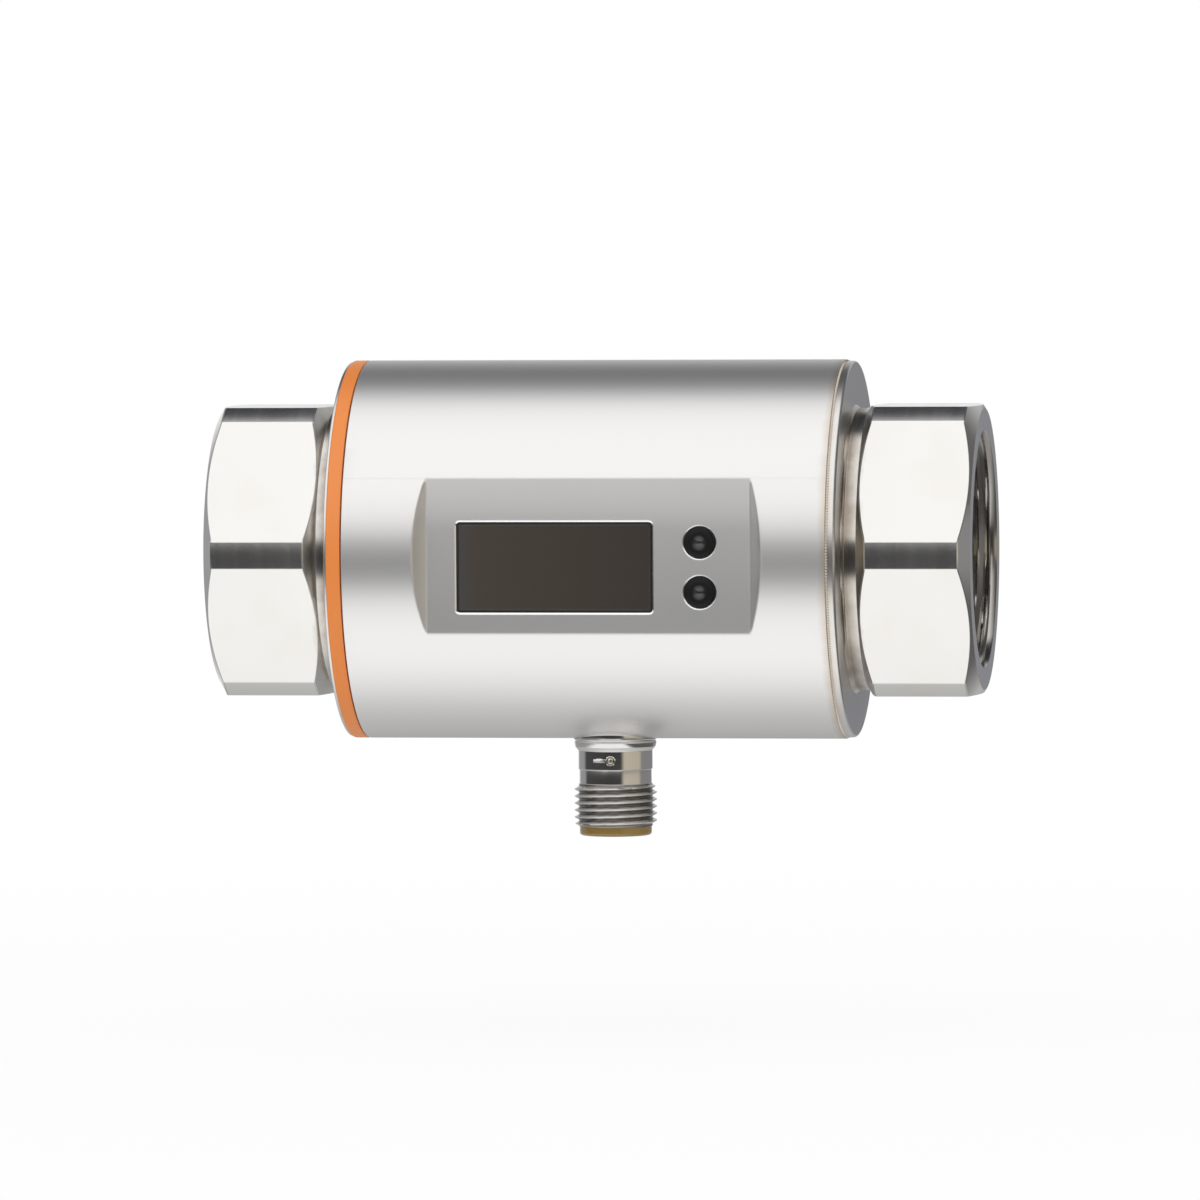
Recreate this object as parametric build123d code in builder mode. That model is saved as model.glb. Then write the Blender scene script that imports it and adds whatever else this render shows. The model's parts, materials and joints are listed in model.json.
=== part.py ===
from build123d import *
import os
from math import cos, radians, sin, tan

# In-line flow meter with two hexagon pipe fittings, a display and a plug.
# Frame: origin at the middle of the flow axis, +X from inlet to outlet,
# -Y towards the display, +Z up, plug pointing down. Millimetres.

os.makedirs("parts", exist_ok=True)

# Clearances
plug_gap = 0.05  # between two turned pieces that plug together
shake_gap = 0.3  # between pieces that stay loose of each other
button_gap = 0.08  # round a button in its hole
plunger_gap = 0.05  # round a switch plunger

# Housing tube
tube_outer_r = 27.0
tube_wall = 1.5
tube_edge = 0.2

# Flat pressed into the front of the tube
press_depth = 2.34
press_length = 46.0
press_x = 1.1
press_slope = 36.0  # of its two ends, degrees from straight in
press_foot_round = 0.6
press_crest_round = 0.6

# End covers and orange ring
cover_rim_step = 0.2  # of their rims below the tube
cover_depth = 5.0
cover_rim_round = 0.18
inlet_rim_width = 0.4
outlet_rim_width = 1.35
outlet_rim_round = 0.45
ring_width = 2.0
ring_round = 0.2
ring_seam = 0.15  # between the ring and the tube

# Hexagon fittings
overall_length = 109.1
hex_flats = 41.0
hex_corner_r = 22.6
face_rim_r = 20.0
chamfer_angle = 30.0
hex_length = 16.1
neck_r = 20.1
neck_length = 2.2  # from the end cover to the hexagon
neck_weld = 0.4
stub_r = 18.5
stub_length = 9.25  # from the cover's outer face into the housing
thread_core_r = 15.1455  # crest radius of a one inch female pipe thread
mouth_r = 16.9
thread_depth = 17.5
passage_r = 13.5
throat_length = 3.05

# Measuring tube
bore_r = 10.0
liner_wall = 2.5
spigot_r = 14.0
spigot_length = 6.9
seal_section = 1.6
seal_squeeze = 0.02
seal_groove_width = 2.2
seal_from_end = 3.4

# Electrodes, which face each other along Y
electrode_r = 1.5
electrode_head_r = 2.5
electrode_head = 1.2
electrode_seat = 1.9  # depth of the head's seat from the bore
electrode_tail_r = 0.6
electrode_tail_proud = 0.3  # past its gland
boss_r = 4.0
boss_height = 2.0
gland_proud = 0.5

# Magnet
shoe_thickness = 1.2
shoe_half_angle = 38.0
shoe_length = 20.0
core_r = 4.4
core_height = 5.0  # from the top of the liner
bobbin_r = 9.5
bobbin_wall = 0.6
bobbin_flange = 0.7
bobbin_height = 3.4
winding_r = 9.1
yoke_thickness = 1.2
yoke_width = 10.0
yoke_overhang = 6.0
yoke_corner_r = 10.0
rivet_r = 2.0
rivet_head = 0.5

# Temperature probe in the liner's underside
probe_x = 15.5
probe_r = 1.5
probe_head_r = 2.4
probe_head = 3.0
probe_seat = 2.0  # wall left under the head

# Window and display
window_width = 27.6
window_height = 12.5
window_x = -3.7
controls_z = -1.6
window_corner = 0.45
window_recess = 0.15
pane_gap = 0.25  # of black seal round the pane in the cut-out
pane_lip = 1.5
pane_lip_thickness = 1.0
gasket_thickness = 0.3
display_thickness = 2.6
display_margin = 0.6

# Buttons and their switches
button_r = 2.17
button_x = 16.9
button_pitch = 7.0
button_proud = 0.6
button_dish_r = 1.0
button_dish = 0.22
button_flange_r = 2.9
button_flange = 0.5
button_travel = 0.6
stem_r = 1.2
switch_size = 4.6
switch_height = 1.75
plunger_r = 1.0
plunger_proud = 0.85
plunger_length = 1.7

# Boards
board_thickness = 1.0
display_board_height = 19.0
main_board_height = 18.0
main_board_rise = 1.0  # from the liner to the board's back
header_x = -14.0
header_width = 2.5
header_length = 12.7
chip_height = 0.8
screw_r = 0.8
screw_head_r = 1.4
screw_head = 0.7
screw_grip = 1.6  # of thread in the support ring

# Support rings
ring_plate = 2.0
lead_hole_r = 3.0

# Plug
plug_x = 1.4
plug_reach = 12.6  # end of the thread below the housing
plug_thread_r = 5.9
plug_thread_length = 6.2
plug_relief_r = 5.15
plug_relief_length = 2.05
plug_barrel_r = 5.3
plug_barrel_length = 2.65
plug_collar_r = 6.0
plug_collar_foot_r = 5.7
plug_collar_taper = 1.35
plug_collar_step = 0.4
plug_stem_r = 5.9
plug_bore_r = 4.85
plug_mark_r = 0.65
carrier_lip_r = 5.15
carrier_lip = 1.25
carrier_lip_round = 0.45
carrier_wall = 0.55
socket_depth = 8.2
carrier_floor = 3.0
key_width = 1.0
key_depth = 0.6
pin_r = 0.5
pin_circle_r = 2.75
pin_recess = 1.0
plug_board_thickness = 0.8
plug_board_r = 5.6
saddle_r = 7.6
saddle_thickness = 1.6
nut_flats = 14.0
nut_thickness = 1.3
plug_seal_section = 0.8
flex_width = 5.0
flex_thickness = 0.3
flex_bend_r = 2.0

# Places that follow from the sizes above
half_length = overall_length / 2
half_housing = half_length - hex_length - neck_length
tube_inner_r = tube_outer_r - tube_wall
cover_rim_r = tube_outer_r - cover_rim_step
cover_plug_r = tube_inner_r - plug_gap
tube_start = -half_housing + inlet_rim_width + ring_width + ring_seam
tube_end = half_housing - outlet_rim_width
flat_y = -(tube_outer_r - press_depth)
flat_inner_y = flat_y + tube_wall
press_x0 = press_x - press_length / 2
press_x1 = press_x + press_length / 2
liner_r = bore_r + liner_wall
liner_end = half_length - thread_depth - throat_length
shoe_r = liner_r + plug_gap + shoe_thickness
core_top = liner_r + core_height
yoke_inner = core_top + plug_gap
yoke_middle = yoke_inner + yoke_thickness / 2
bobbin_base = shoe_r + plug_gap
boss_top = liner_r + boss_height
gland_base = bore_r + electrode_seat + electrode_head
gland_top = boss_top + gland_proud
pane_back_y = flat_inner_y + gasket_thickness + pane_lip_thickness
display_board_y = pane_back_y + plug_gap + display_thickness
display_board_back_y = display_board_y + board_thickness
stub_end = half_housing - stub_length
ring_plate_x = stub_end - shake_gap - ring_plate / 2
board_length = 2 * ring_plate_x + ring_plate
main_board_back_y = -(liner_r + main_board_rise)
main_board_y = main_board_back_y - board_thickness
electrode_end = gland_top + electrode_tail_proud
shell_top_z = -(core_top + yoke_thickness + rivet_head + shake_gap * 2 + plug_board_thickness)
saddle_top_z = -(tube_inner_r - saddle_thickness)
shell_end_z = -(tube_outer_r + plug_reach)
mouth_z = shell_end_z - carrier_lip
thread_top_z = shell_end_z + plug_thread_length
relief_top_z = thread_top_z + plug_relief_length
barrel_top_z = relief_top_z + plug_barrel_length
collar_foot_z = barrel_top_z + plug_collar_step
collar_top_z = collar_foot_z + plug_collar_taper
button_places = {
    "upper": controls_z + button_pitch / 2,
    "lower": controls_z - button_pitch / 2,
}


# Hexagon fittings, turned from bar, each with a stub into the housing
chamfer_run = (hex_corner_r - face_rim_r) * tan(radians(chamfer_angle))
neck_chamfer_run = (hex_corner_r - neck_r) * tan(radians(chamfer_angle))
hex_inner_x = half_length - hex_length
thread_end = half_length - thread_depth
mouth_run = mouth_r - thread_core_r
for end, side in (("inlet", -1), ("outlet", 1)):
    with BuildPart() as fitting:
        with BuildSketch(Plane.XZ):
            with BuildLine():
                Polyline(
                    (side * stub_end, spigot_r + plug_gap),
                    (side * stub_end, stub_r),
                    (side * half_housing, stub_r),
                    (side * half_housing, neck_r + neck_weld),
                    (side * (half_housing + neck_weld), neck_r),
                    (side * hex_inner_x, neck_r),
                    (side * (hex_inner_x + neck_chamfer_run), hex_corner_r),
                    (side * (half_length - chamfer_run), hex_corner_r),
                    (side * half_length, face_rim_r),
                    (side * half_length, mouth_r),
                    (side * (half_length - mouth_run), thread_core_r),
                    (side * thread_end, thread_core_r),
                    (side * thread_end, passage_r),
                    (side * liner_end, bore_r),
                    (side * liner_end, spigot_r + plug_gap),
                    close=True,
                )
            make_face()
        revolve(axis=Axis.X)
        with BuildSketch(Plane.YZ.offset(side * (hex_inner_x - plug_gap))):
            Circle(hex_corner_r * 2)
            RegularPolygon(hex_flats / 2, 6, major_radius=False, mode=Mode.SUBTRACT)
        extrude(amount=side * hex_length * 2, mode=Mode.SUBTRACT)
    fitting.part.label = f"{end}_fitting"
    export_step(fitting.part, f"parts/{end}_fitting.step")


# Housing tube, with the flat pressed in: the same wall follows the press
def pressed_round(radius, depth_y, shift):
    """A round bar along the housing, cut back to the pressed flat."""
    run = 2 * tube_outer_r
    spread = (run + depth_y) * tan(radians(press_slope))
    with BuildPart() as bar:
        with BuildSketch(Plane.YZ.offset(tube_start)):
            Circle(radius)
        extrude(amount=tube_end - tube_start)
        with BuildSketch(Plane.XY):
            with BuildLine():
                Polyline(
                    (press_x0 - shift, depth_y),
                    (press_x1 + shift, depth_y),
                    (press_x1 + shift + spread, -run),
                    (press_x0 - shift - spread, -run),
                    close=True,
                )
            make_face()
        extrude(amount=tube_outer_r, both=True, mode=Mode.SUBTRACT)
    return bar.part


slope_shift = tube_wall * tan(radians((90 - press_slope) / 2))
with BuildPart() as housing:
    add(pressed_round(tube_outer_r, flat_y, 0))
    fillet(housing.edges().filter_by(GeomType.LINE).filter_by(Axis.Z), press_foot_round)
    fillet(housing.edges().filter_by(GeomType.ELLIPSE), press_crest_round)
    add(pressed_round(tube_inner_r, flat_inner_y, slope_shift), mode=Mode.SUBTRACT)
    with BuildSketch(Plane.XZ):
        with Locations((window_x, controls_z)):
            RectangleRounded(window_width, window_height, window_corner)
        with Locations(*[(button_x, z) for z in button_places.values()]):
            Circle(button_r + button_gap)
    extrude(amount=tube_outer_r, mode=Mode.SUBTRACT)
    with BuildSketch(Plane.XY):
        with Locations((plug_x, 0)):
            Circle(plug_stem_r + plug_gap)
    extrude(amount=-tube_outer_r - tube_wall, mode=Mode.SUBTRACT)
housing.part.label = "housing_tube"
export_step(housing.part, "parts/housing_tube.step")


# Inlet end cover: thin rim, then a plug that carries the ring and the tube
with BuildPart() as inlet_cover:
    with BuildSketch(Plane.XZ):
        with BuildLine():
            Polyline(
                (-half_housing, stub_r + plug_gap),
                (-half_housing, cover_rim_r - cover_rim_round),
                (-half_housing + cover_rim_round, cover_rim_r),
                (-half_housing + inlet_rim_width, cover_rim_r),
                (-half_housing + inlet_rim_width, cover_plug_r),
                (-half_housing + cover_depth, cover_plug_r),
                (-half_housing + cover_depth, stub_r + plug_gap),
                close=True,
            )
        make_face()
    revolve(axis=Axis.X)
inlet_cover.part.label = "inlet_end_cover"
export_step(inlet_cover.part, "parts/inlet_end_cover.step")


# Outlet end cover: butts against the tube's end, with a rounded outer edge
with BuildPart() as outlet_cover:
    with BuildSketch(Plane.XZ):
        with BuildLine():
            Polyline(
                (half_housing, stub_r + plug_gap),
                (half_housing, cover_rim_r),
                (tube_end, cover_rim_r),
                (tube_end, cover_plug_r),
                (half_housing - cover_depth, cover_plug_r),
                (half_housing - cover_depth, stub_r + plug_gap),
                close=True,
            )
        make_face()
    revolve(axis=Axis.X)
    outer_rim = outlet_cover.edges().filter_by(GeomType.CIRCLE).group_by(Axis.X)[-1]
    fillet(outer_rim.sort_by(SortBy.RADIUS)[-1], outlet_rim_round)
outlet_cover.part.label = "outlet_end_cover"
export_step(outlet_cover.part, "parts/outlet_end_cover.step")


# Orange ring on the inlet cover's plug
with BuildPart() as accent_ring:
    with BuildSketch(Plane.XZ):
        with Locations((-half_housing + inlet_rim_width + ring_width / 2, 0)):
            with Locations((0, (tube_inner_r + tube_outer_r) / 2)):
                RectangleRounded(ring_width, tube_wall, ring_round)
    revolve(axis=Axis.X)
accent_ring.part.label = "accent_ring"
export_step(accent_ring.part, "parts/accent_ring.step")


# Measuring tube with spigots, seal grooves, electrode bosses and a probe seat
groove_r = spigot_r + plug_gap - seal_section - 2 * seal_squeeze
groove_x = liner_end - seal_from_end
with BuildPart() as liner:
    Cylinder(liner_r, 2 * liner_end, rotation=(0, 90, 0))
    with Locations(Plane.YZ):
        Cylinder(spigot_r, 2 * liner_end)
        Cylinder(spigot_r, 2 * (liner_end - spigot_length), mode=Mode.SUBTRACT)
        Cylinder(liner_r, 2 * liner_end)
        for side in (-1, 1):
            with Locations((0, 0, side * groove_x)):
                Cylinder(spigot_r, seal_groove_width, mode=Mode.SUBTRACT)
                Cylinder(groove_r, seal_groove_width)
    with BuildSketch(Plane.XZ):
        Circle(boss_r)
    extrude(amount=boss_top, both=True)
    with BuildSketch(Plane.XZ):
        Circle(electrode_r + plug_gap)
    extrude(amount=boss_top, both=True, mode=Mode.SUBTRACT)
    for direction in (-1, 1):
        with BuildSketch(Plane.XZ.offset(direction * (bore_r + electrode_seat))):
            Circle(electrode_head_r + plug_gap)
        extrude(amount=direction * boss_top, mode=Mode.SUBTRACT)
    with BuildSketch(Plane.XY):
        with Locations((probe_x, 0)):
            Circle(probe_r + plug_gap)
    extrude(amount=-liner_r, mode=Mode.SUBTRACT)
    with BuildSketch(Plane.XY.offset(-(bore_r + probe_seat))):
        with Locations((probe_x, 0)):
            Circle(probe_head_r + plug_gap)
    extrude(amount=-liner_r, mode=Mode.SUBTRACT)
    with Locations(Plane.YZ):
        Cylinder(bore_r, 2 * liner_end, mode=Mode.SUBTRACT)
liner.part.label = "measuring_tube"
export_step(liner.part, "parts/measuring_tube.step")


# Seals between the measuring tube and the fittings
for end, side in (("inlet", -1), ("outlet", 1)):
    with BuildPart() as tube_seal:
        with BuildSketch(Plane.XZ):
            with Locations((side * groove_x, groove_r + seal_squeeze + seal_section / 2)):
                Circle(seal_section / 2)
        revolve(axis=Axis.X)
    tube_seal.part.label = f"{end}_tube_seal"
    export_step(tube_seal.part, f"parts/{end}_tube_seal.step")


# Electrodes: tip flush with the bore, head on its seat, thin soldered tail
electrode_profile = (
    (0, bore_r),
    (electrode_r, bore_r),
    (electrode_r, bore_r + electrode_seat),
    (electrode_head_r, bore_r + electrode_seat),
    (electrode_head_r, gland_base),
    (electrode_tail_r, gland_base),
    (electrode_tail_r, electrode_end),
    (0, electrode_end),
)
for place, direction in (("front", -1), ("rear", 1)):
    with BuildPart() as electrode:
        with BuildSketch(Plane.XY):
            with BuildLine():
                Polyline(*[(r, direction * y) for r, y in electrode_profile], close=True)
            make_face()
        revolve(axis=Axis.Y)
    electrode.part.label = f"{place}_electrode"
    export_step(electrode.part, f"parts/{place}_electrode.step")


# Gland screws that press the electrodes' heads down
with BuildPart() as glands:
    for direction in (-1, 1):
        with BuildSketch(Plane.XZ.offset(-direction * gland_base)):
            Circle(electrode_head_r)
            Circle(electrode_tail_r + plug_gap, mode=Mode.SUBTRACT)
        extrude(amount=-direction * (gland_top - gland_base))
        with BuildSketch(Plane.XZ.offset(-direction * gland_top)):
            Rectangle(2 * electrode_head_r, electrode_tail_r)
        extrude(amount=direction * gland_proud, mode=Mode.SUBTRACT)
glands.part.label = "electrode_glands"
export_step(glands.part, "parts/electrode_glands.step")


# Pole pieces: a shoe that hugs the liner, a round core and a rivet spigot
wedge_y = shoe_r * 2 * sin(radians(shoe_half_angle))
wedge_z = shoe_r * 2 * cos(radians(shoe_half_angle))
for place, up in (("upper", 1), ("lower", -1)):
    with BuildPart() as pole:
        with BuildSketch(Plane.YZ.offset(-shoe_length / 2)):
            Circle(shoe_r)
            Circle(liner_r + plug_gap, mode=Mode.SUBTRACT)
            with BuildLine():
                Polyline((0, 0), (wedge_y, up * wedge_z), (-wedge_y, up * wedge_z), close=True)
            make_face(mode=Mode.INTERSECT)
        extrude(amount=shoe_length)
        with BuildSketch(Plane.XY.offset(up * (liner_r + plug_gap + shoe_thickness / 2))):
            Circle(core_r)
        extrude(amount=up * (core_top - liner_r - plug_gap - shoe_thickness / 2))
        with BuildSketch(Plane.XY.offset(up * core_top)):
            Circle(rivet_r)
        extrude(amount=up * (yoke_thickness + plug_gap + rivet_head))
    pole.part.label = f"{place}_pole_piece"
    export_step(pole.part, f"parts/{place}_pole_piece.step")


# Coil bobbins and their windings round the cores
for place, up in (("upper", 1), ("lower", -1)):
    with BuildPart() as bobbin:
        with BuildSketch(Plane.XZ):
            with BuildLine():
                Polyline(
                    (core_r + plug_gap, up * bobbin_base),
                    (bobbin_r, up * bobbin_base),
                    (bobbin_r, up * (bobbin_base + bobbin_flange)),
                    (core_r + plug_gap + bobbin_wall, up * (bobbin_base + bobbin_flange)),
                    (core_r + plug_gap + bobbin_wall, up * (bobbin_base + bobbin_height - bobbin_flange)),
                    (bobbin_r, up * (bobbin_base + bobbin_height - bobbin_flange)),
                    (bobbin_r, up * (bobbin_base + bobbin_height)),
                    (core_r + plug_gap, up * (bobbin_base + bobbin_height)),
                    close=True,
                )
            make_face()
        revolve(axis=Axis.Z)
    bobbin.part.label = f"{place}_bobbin"
    export_step(bobbin.part, f"parts/{place}_bobbin.step")
    with BuildPart() as winding:
        with BuildSketch(Plane.XY.offset(up * (bobbin_base + bobbin_flange))):
            Circle(winding_r)
            Circle(core_r + plug_gap + bobbin_wall, mode=Mode.SUBTRACT)
        extrude(amount=up * (bobbin_height - 2 * bobbin_flange))
    winding.part.label = f"{place}_winding"
    export_step(winding.part, f"parts/{place}_winding.step")


# Iron strap that joins the two cores behind the measuring tube
with BuildPart() as yoke:
    with BuildSketch(Plane.YZ.offset(-yoke_width / 2)):
        with BuildLine():
            FilletPolyline(
                (-yoke_overhang, yoke_middle),
                (yoke_middle, yoke_middle),
                (yoke_middle, -yoke_middle),
                (-yoke_overhang, -yoke_middle),
                radius=yoke_corner_r,
            )
        trace(line_width=yoke_thickness)
    extrude(amount=yoke_width)
    with BuildSketch(Plane.XY):
        Circle(rivet_r + plug_gap)
    extrude(amount=yoke_middle + yoke_thickness, both=True, mode=Mode.SUBTRACT)
yoke.part.label = "magnet_yoke"
export_step(yoke.part, "parts/magnet_yoke.step")


# Temperature probe, its tip flush with the bore
with BuildPart() as probe:
    with BuildSketch(Plane.XY.offset(-bore_r)):
        with Locations((probe_x, 0)):
            Circle(probe_r)
    extrude(amount=-probe_seat)
    with BuildSketch(Plane.XY.offset(-(bore_r + probe_seat))):
        with Locations((probe_x, 0)):
            Circle(probe_head_r)
    extrude(amount=-probe_head)
probe.part.label = "temperature_probe"
export_step(probe.part, "parts/temperature_probe.step")


# Smoked pane, stepped so that it fills the cut-out from behind
pane_lip_y = flat_inner_y + gasket_thickness
lip_outline = (window_width + 2 * pane_lip, window_height + 2 * pane_lip, window_corner + pane_lip / 2)
pane_outline = (window_width - 2 * pane_gap, window_height - 2 * pane_gap, window_corner - pane_gap / 2)
with BuildPart() as pane:
    with BuildSketch(Plane.XZ.offset(-pane_lip_y)):
        with Locations((window_x, controls_z)):
            RectangleRounded(*lip_outline)
    extrude(amount=-pane_lip_thickness)
    with BuildSketch(Plane.XZ.offset(-pane_lip_y)):
        with Locations((window_x, controls_z)):
            RectangleRounded(*pane_outline)
    extrude(amount=pane_lip_y - (flat_y + window_recess))
pane.part.label = "display_window"
export_step(pane.part, "parts/display_window.step")


# Black seal: a flat frame behind the wall and a thin collar in the cut-out
with BuildPart() as gasket:
    with BuildSketch(Plane.XZ.offset(-pane_lip_y)):
        with Locations((window_x, controls_z)):
            RectangleRounded(*lip_outline)
    extrude(amount=gasket_thickness)
    with BuildSketch(Plane.XZ.offset(-flat_inner_y)):
        with Locations((window_x, controls_z)):
            RectangleRounded(window_width, window_height, window_corner)
    extrude(amount=tube_wall - window_recess)
    with BuildSketch(Plane.XZ.offset(-pane_lip_y)):
        with Locations((window_x, controls_z)):
            RectangleRounded(*pane_outline)
    extrude(amount=tube_wall + gasket_thickness, mode=Mode.SUBTRACT)
gasket.part.label = "window_gasket"
export_step(gasket.part, "parts/window_gasket.step")


# Display module behind the pane
with BuildPart() as display:
    with BuildSketch(Plane.XZ.offset(-display_board_y)):
        with Locations((window_x, controls_z)):
            Rectangle(window_width + 2 * display_margin, window_height + 2 * display_margin)
    extrude(amount=display_thickness)
    chamfer(display.faces().sort_by(Axis.Y)[0].edges(), board_thickness / 4)
display.part.label = "display_module"
export_step(display.part, "parts/display_module.step")


# Push buttons: dished dome, shank, flange behind the wall and stem
flange_y = flat_inner_y + shake_gap
switch_top_y = display_board_y - switch_height
plunger_top_y = switch_top_y - plunger_proud
dome_y = flat_y - button_proud
dome_foot_y = flat_y - tube_edge
for place, z in button_places.items():
    with BuildPart() as button:
        with BuildSketch(Plane.XY):
            with BuildLine():
                Polyline(
                    (0, dome_y + button_dish),
                    (0, plunger_top_y),
                    (stem_r, plunger_top_y),
                    (stem_r, flange_y + button_flange),
                    (button_flange_r, flange_y + button_flange),
                    (button_flange_r, flange_y),
                    (button_r, flange_y),
                    (button_r, dome_foot_y),
                )
                Spline(
                    (button_r, dome_foot_y),
                    (button_dish_r + (button_r - button_dish_r) / 2, dome_y + button_dish / 4),
                    (button_dish_r, dome_y + button_dish / 4),
                    (0, dome_y + button_dish),
                    tangents=((0, -1), (-1, 0)),
                )
            make_face()
        revolve(axis=Axis.Y)
    placed_button = button.part.moved(Location((button_x, 0, z)))
    placed_button.label = f"button_{place}"
    export_step(placed_button, f"parts/button_{place}.step")


# Key switches on the display board, each with its own plunger
for place, z in button_places.items():
    with BuildPart() as switch:
        with BuildSketch(Plane.XZ.offset(-display_board_y)):
            with Locations((button_x, z)):
                Rectangle(switch_size, switch_size)
        extrude(amount=switch_height)
        chamfer(switch.edges().filter_by(Axis.Y), switch_size / 10)
        with BuildSketch(Plane.XZ.offset(-switch_top_y)):
            with Locations((button_x, z)):
                Circle(plunger_r + plunger_gap)
        extrude(amount=-(plunger_length - plunger_proud + button_travel), mode=Mode.SUBTRACT)
    switch.part.label = f"{place}_switch"
    export_step(switch.part, f"parts/{place}_switch.step")
    with BuildPart() as plunger:
        with BuildSketch(Plane.XZ.offset(-plunger_top_y)):
            with Locations((button_x, z)):
                Circle(plunger_r)
        extrude(amount=-plunger_length)
    plunger.part.label = f"{place}_plunger"
    export_step(plunger.part, f"parts/{place}_plunger.step")


# Display board, held by four screws on the support rings
screw_places = [
    (side * ring_plate_x, up * (display_board_height / 2 - screw_head_r * 1.2))
    for side in (-1, 1)
    for up in (-1, 1)
]
with BuildPart() as display_board:
    with BuildSketch(Plane.XZ.offset(-display_board_back_y)):
        Rectangle(board_length, display_board_height)
        with Locations(*screw_places):
            Circle(screw_r + plug_gap, mode=Mode.SUBTRACT)
    extrude(amount=board_thickness)
    chamfer(display_board.edges().filter_by(Axis.Y).group_by(Axis.X)[-1], board_thickness)
    chamfer(display_board.edges().filter_by(Axis.Y).group_by(Axis.X)[0], board_thickness)
display_board.part.label = "display_board"
export_step(display_board.part, "parts/display_board.step")

with BuildPart() as screws:
    with BuildSketch(Plane.XZ.offset(-display_board_y)):
        with Locations(*screw_places):
            Circle(screw_head_r)
    extrude(amount=screw_head)
    with BuildSketch(Plane.XZ.offset(-display_board_y)):
        with Locations(*screw_places):
            Circle(screw_r)
    extrude(amount=-(board_thickness + screw_grip))
    with BuildSketch(Plane.XZ.offset(-(display_board_y - screw_head))):
        with Locations(*screw_places):
            Rectangle(2 * screw_head_r, screw_r / 2)
    extrude(amount=-screw_head / 2, mode=Mode.SUBTRACT)
screws.part.label = "board_screws"
export_step(screws.part, "parts/board_screws.step")


# Header block between the two boards
with BuildPart() as header:
    with BuildSketch(Plane.XZ.offset(-main_board_y)):
        with Locations((header_x, 0)):
            Rectangle(header_width, header_length)
    extrude(amount=main_board_y - display_board_back_y)
    chamfer(header.edges().filter_by(Axis.Y), header_width / 8)
header.part.label = "board_header"
export_step(header.part, "parts/board_header.step")


# Main board, open round the electrode's boss, its chips towards the display board
chip_places = ((-9.0, 4.0, 5.0, 5.0), (10.0, -3.5, 7.0, 7.0), (9.5, 5.2, 4.0, 3.0), (-8.5, -5.0, 3.0, 4.0))
with BuildPart() as main_board:
    with BuildSketch(Plane.XZ.offset(-main_board_back_y)):
        Rectangle(board_length, main_board_height)
    extrude(amount=board_thickness)
    chamfer(main_board.edges().filter_by(Axis.Y), board_thickness)
    for chip_x, chip_z, chip_width, chip_depth in chip_places:
        with BuildSketch(Plane.XZ.offset(-main_board_y)):
            with Locations((chip_x, chip_z)):
                Rectangle(chip_width, chip_depth)
        extrude(amount=chip_height)
    with BuildSketch(Plane.XZ):
        Circle(boss_r + shake_gap)
    extrude(amount=tube_outer_r, mode=Mode.SUBTRACT)
main_board.part.label = "main_board"
export_step(main_board.part, "parts/main_board.step")


# Support rings on the measuring tube: a flat for the display board, a slot
# for the main board, holes for screws and leads
support_r = tube_inner_r - shake_gap
lead_hole_place = (support_r + liner_r) / 2
board_slot = (board_thickness + 2 * plug_gap, main_board_height + 2 * plug_gap)
for end, side in (("inlet", -1), ("outlet", 1)):
    ring_face_x = side * ring_plate_x - ring_plate / 2
    with BuildPart() as support:
        with BuildSketch(Plane.YZ.offset(ring_face_x)):
            Circle(support_r)
            Circle(liner_r + plug_gap, mode=Mode.SUBTRACT)
            with Locations((main_board_back_y - board_thickness / 2, 0)):
                Rectangle(*board_slot, mode=Mode.SUBTRACT)
            with Locations((display_board_back_y - support_r, 0)):
                Rectangle(2 * support_r, 4 * support_r, mode=Mode.SUBTRACT)
            with PolarLocations(lead_hole_place, 3, start_angle=-90, angular_range=180, endpoint=True):
                Circle(lead_hole_r, mode=Mode.SUBTRACT)
        extrude(amount=ring_plate)
        with BuildSketch(Plane.XZ.offset(-display_board_back_y)):
            with Locations(*screw_places):
                Circle(screw_r + plug_gap)
        extrude(amount=-(screw_grip + plug_gap), mode=Mode.SUBTRACT)
    support.part.label = f"{end}_support_ring"
    export_step(support.part, f"parts/{end}_support_ring.step")


# Plug shell: stem through the wall, flared collar, barrel, relief, thread
seal_z = (saddle_top_z - tube_inner_r) / 2
thread_lead = plug_thread_r - plug_relief_r
with BuildPart() as shell:
    with BuildSketch(Plane.XZ):
        with BuildLine():
            Polyline(
                (plug_bore_r, shell_top_z),
                (plug_stem_r, shell_top_z),
                (plug_stem_r, seal_z + plug_seal_section / 2 + plug_gap),
                (plug_stem_r - plug_seal_section, seal_z + plug_seal_section / 2 + plug_gap),
                (plug_stem_r - plug_seal_section, seal_z - plug_seal_section / 2 - plug_gap),
                (plug_stem_r, seal_z - plug_seal_section / 2 - plug_gap),
                (plug_stem_r, -tube_outer_r + tube_wall),
                (plug_collar_r, -tube_outer_r + tube_wall),
                (plug_collar_r, collar_top_z),
                (plug_collar_foot_r, collar_foot_z),
                (plug_barrel_r, barrel_top_z),
                (plug_barrel_r, relief_top_z),
                (plug_relief_r, relief_top_z),
                (plug_relief_r, thread_top_z),
                (plug_thread_r, thread_top_z - thread_lead),
                (plug_thread_r, shell_end_z + thread_lead),
                (plug_relief_r, shell_end_z),
                (plug_bore_r, shell_end_z),
                close=True,
            )
        make_face()
    revolve(axis=Axis.Z)
    with Locations((0, plug_relief_r - plug_barrel_r * 2, (barrel_top_z + relief_top_z) / 2)):
        Sphere(plug_mark_r, mode=Mode.SUBTRACT)
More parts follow.
